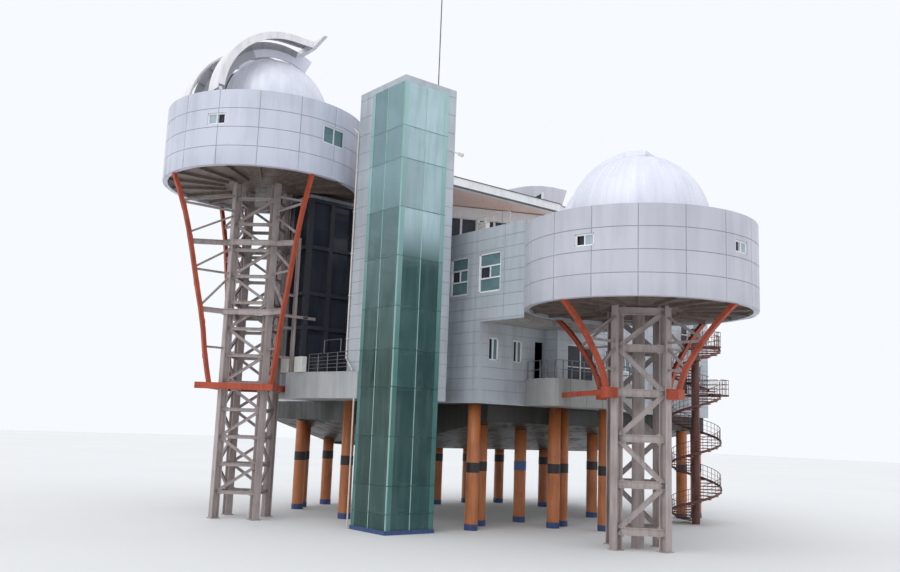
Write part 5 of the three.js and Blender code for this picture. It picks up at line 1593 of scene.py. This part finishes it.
def penthouse_openings():
    """The slanted front, then the north, south, west and east sides."""
    def light(x, y, along, width=LOW_WIDTH):
        return Opening((x, y, PENTHOUSE_SILL), along, width, PENTHOUSE_LIGHT)

    slanted = Vector((3.058, 7.2, 0)).normalized()
    corner = Vector((-2.198, 4.3, 0))
    openings = []
    for start in (0.3, 2.5, 4.7):
        foot = corner + slanted * start
        openings.append(light(foot.x, foot.y, slanted, 2.05))
    openings += [light(x, 16.4, NORTH_SIDE) for x in (-10.5, -7.5, -4.5)]
    openings += [light(x, 4.3, SOUTH_SIDE) for x in (-12.0, -9.0, -6.0)]
    openings += [light(-14.0, y, WEST_SIDE) for y in (8.0, 11.0, 14.0)]
    openings.append(light(0.86, 13.5, EAST_SIDE))
    return openings


def terrace_glazing():
    """Pairs of dark lights in white frames in the openings of the terrace walls."""
    frames, panes = [], []
    for opening in penthouse_openings():
        half = opening.width / 2
        for left in (0.0, half):
            frames += opening.sash(left, left + half, 0.0, PENTHOUSE_LIGHT, 0.07, 0.09)
            panes.append(opening.pane(left + 0.04, left + half - 0.04, 0.04, PENTHOUSE_LIGHT - 0.04))
    fit("terrace_frames", frames, FRAME)
    fit("terrace_panes", panes, HALL_GLASS)


def gable_window():
    """A small dark light with a white post, in the end of the arched roof."""
    parts = [slab((GABLE - 0.02, 13.1, 21.2), (GABLE + 0.04, 13.3, 22.0)),
             slab((GABLE - 0.02, 12.1, 21.2), (GABLE + 0.03, 13.1, 21.26))]
    fit("gable_frame", parts, FRAME)
    light = member(BAR, (GABLE - 0.01, 12.6, 21.24), (GABLE - 0.01, 12.6, 21.94), 0.03, 1.0, (1, 0, 0))
    cut_planes(light, [(GABLE, 12.1, 21.3)], (0, -0.6, 1.0), clear_outer=True, use_fill=True)
    fit("gable_light", [light], HALL_GLASS)


# Railings

BALCONY_RAIL_Y = -2.3
BALCONY_RAIL = 1.05
TERRACE_RAIL = 0.8
RAIL_THICK = 0.04


def straight_rail(start, end, height, bars, spacing):
    """Posts and level bars from start to end."""
    start, end = Vector(start), Vector(end)
    parts = []
    for k in range(1, bars + 1):
        lift = Vector((0, 0, height * k / bars))
        parts.append(rod(start + lift, end + lift, RAIL_THICK))
    count = max(1, round((end - start).length / spacing))
    for k in range(count + 1):
        parts.append(post(start.lerp(end, k / count), height, RAIL_THICK))
    return parts


def balcony_rail():
    """A five bar rail, with a raised stretch over its right part."""
    top = DECK_FLOOR + BALCONY_RAIL
    parts = straight_rail((-5.95, BALCONY_RAIL_Y, DECK_FLOOR), (-1.75, BALCONY_RAIL_Y, DECK_FLOOR),
                          BALCONY_RAIL, 5, 1.05)
    parts += straight_rail((-4.3, BALCONY_RAIL_Y, top), (-2.5, BALCONY_RAIL_Y, top), 0.75, 1, 1.8)
    fit("left_balcony_rail", parts, RAIL, ["left_railing"])


def terrace_rail():
    foot = WALL_TOP - 0.01
    path = [(1.75, 3.95, foot), (3.9, 3.95, foot), (4.4, 4.1, foot)]
    parts = []
    for start, end in zip(path, path[1:]):
        parts += straight_rail(start, end, TERRACE_RAIL, 2, 0.75)
    fit("terrace_rail", parts, RAIL_PALE)


# Cooling units, pipe, post and lamp on the outside

def cooling_unit(low, size):
    """A box with rounded edges and a square grid of louvres sunk into its broad side."""
    low, size = Vector(low), Vector(size)
    bpy.ops.mesh.primitive_cube_add(size=1, location=low + size / 2)
    bpy.context.active_object.scale = size
    unit = settle()
    choose(unit, kind="EDGE")
    bevel(0.02, 2)
    leave_edit()
    choose(unit, lambda face: face.normal.y < -0.95 and face.area > 0.1)
    bpy.ops.mesh.inset(thickness=0.06, use_individual=False)
    bpy.ops.mesh.subdivide(number_cuts=4)
    bpy.ops.mesh.inset(thickness=0.012, use_individual=True)
    swell(-0.02)
    leave_edit()
    return unit


def place_units():
    """Three on the left balcony, one of them painted dark as the shade it stands in, and a tall one on the
    terrace.
    """
    units = [cooling_unit((x, -2.75, DECK_FLOOR), (0.9, 0.35, 0.92)) for x in (-8.6, -6.95)]
    units.append(cooling_unit((0.5, 4.9, WALL_TOP - 0.49), (0.85, 0.35, 1.35)))
    fit("cooling_units", units, UNIT)
    # painted shade: this unit takes the dark bar paint instead of its white enamel
    fit("shaded_unit", [cooling_unit((-6.1, -2.1, DECK_FLOOR), (0.9, 0.35, 0.85))], HALL_BARS)


def downpipe():
    """A pipe down the shaft's core, with its clips, and its lower length under the balcony."""
    thick = 0.09
    path = [(-3.4, -1.66, 23.2), (-2.86, -1.66, 22.8), (-2.9, -1.66, 9.4), (-2.1, -1.7, 8.63)]
    parts = [rod(a, b, thick) for a, b in zip(path, path[1:])]
    parts.append(rod((-1.8, -1.7, 0.0), (-1.8, -1.7, 7.1), thick))
    for z in (10.5, 13.0, 15.5, 18.0, 20.5):
        parts.append(slab((-2.95, -1.72, z - 0.03), (-2.81, -1.575, z + 0.03)))
    fit("downpipe", parts, PIPE)


def service_post():
    """A tall post on the left balcony, tied back to the tower, and the tie from the tower to the hall."""
    foot = Vector((-7.55, -2.6, DECK_FLOOR))
    leg = Vector((-7.4, -4.3, 0))
    parts = [member(BEAM, foot, foot + Vector((0, 0, 8.3)), 0.26, 0.16, (1, 0, 0))]
    for z in (9.5, 11.3, 13.3):
        parts.append(member(BEAM, leg + Vector((0, 0, z)), (foot.x, foot.y, z), 0.14, 0.12))
    parts.append(member(BEAM, leg + Vector((0, 0, 12.03)), (-6.9, -1.5, 11.92), 0.16, 0.14))
    fit("service_post", parts, LATTICE)


def floodlight():
    """An arm from the shaft with its lamp."""
    parts = [member(BAR, (1.62, 2.0, 21.5), (2.15, 2.15, 21.25), 0.07, 0.07),
             member(BAR, (2.02, 2.12, 21.3), (2.3, 2.2, 21.16), 0.2, 0.16)]
    fit("floodlight", parts, UNIT)


# Camera, light and floor

def set_camera():
    """The photograph's own view: where the camera stands and how it is turned, from the building's edges."""
    azimuth, pitch, roll = 2.4678909, 0.1584874, 0.0374398
    place = Vector((41.2154, -29.4525, 5.5156))
    level_run = math.cos(pitch)
    ahead = Vector((level_run * math.cos(azimuth), level_run * math.sin(azimuth), math.sin(pitch)))
    level_right = Vector((math.sin(azimuth), -math.cos(azimuth), 0))
    level_up = level_right.cross(ahead)
    right = level_right * math.cos(roll) + level_up * math.sin(roll)
    up = level_up * math.cos(roll) - level_right * math.sin(roll)
    lens = bpy.data.cameras.new("photo_view")
    lens.lens = 36.12
    lens.sensor_width = 36
    lens.clip_end = 500
    camera = bpy.data.objects.new("photo_view", lens)
    camera.matrix_world = axes_matrix([right, up, -ahead, place])
    bpy.context.scene.collection.objects.link(camera)
    bpy.context.scene.camera = camera


def set_light():
    """A plain pale surround and one soft sun."""
    scene = bpy.context.scene
    scene.view_settings.view_transform = "Standard"
    world = bpy.data.worlds.new("studio")
    world.use_nodes = True
    surround = world.node_tree.nodes["Background"]
    surround.inputs["Color"].default_value = (0.93, 0.96, 1.0, 1)
    surround.inputs["Strength"].default_value = 1.0
    scene.world = world
    sun = bpy.data.lights.new("soft_sun", "SUN")
    sun.energy = 0.8
    sun.angle = math.radians(60)
    lamp = bpy.data.objects.new("soft_sun", sun)
    lamp.rotation_euler = (math.radians(42), 0, math.radians(20))
    scene.collection.objects.link(lamp)


def set_floor():
    bpy.ops.mesh.primitive_plane_add(size=600, location=(0, 0, 0))
    floor = bpy.context.active_object
    floor.name = "pale_floor"
    material, tree, shader = new_material("pale_floor")
    tone = spread(tree, noise(tree, object_place(tree), 0.05, 3.0), 0.3, 0.7, 0.75, 0.77)
    grey = feed_all(tree, add_node(tree, "CombineColor"), red=tone, green=tone, blue=tone)
    feed_all(tree, shader, base_color=grey.outputs[0], roughness=0.8)
    floor.data.materials.append(material)


clear_selection()
set_camera()
set_light()
set_floor()
dress_carried_nodes()
clad_block()
clad_core()
clad_balconies()
clad_drum("left", LEFT_DRUM, LEFT_CLADDING, LEFT_PANELS, LEFT_JOINT)
clad_drum("right", RIGHT_DRUM, RIGHT_CLADDING, RIGHT_PANELS, RIGHT_JOINT)
fit_windows()
right_dome()
right_shutter()
left_dome()
slit_frame()
shutters()
banded_columns()
left_tower()
right_tower()
strut_collars("left", LEFT_DRUM, LEFT_STRUT, (0, 1, 3))
strut_collars("right", RIGHT_DRUM, RIGHT_STRUT, (0, 1, 2, 3))
spiral_stair()
shaft_seams()
shaft_posts()
lift_rails()
canopy()
terrace_glazing()
balcony_rail()
terrace_rail()
place_units()
downpipe()
service_post()
floodlight()
gable_window()
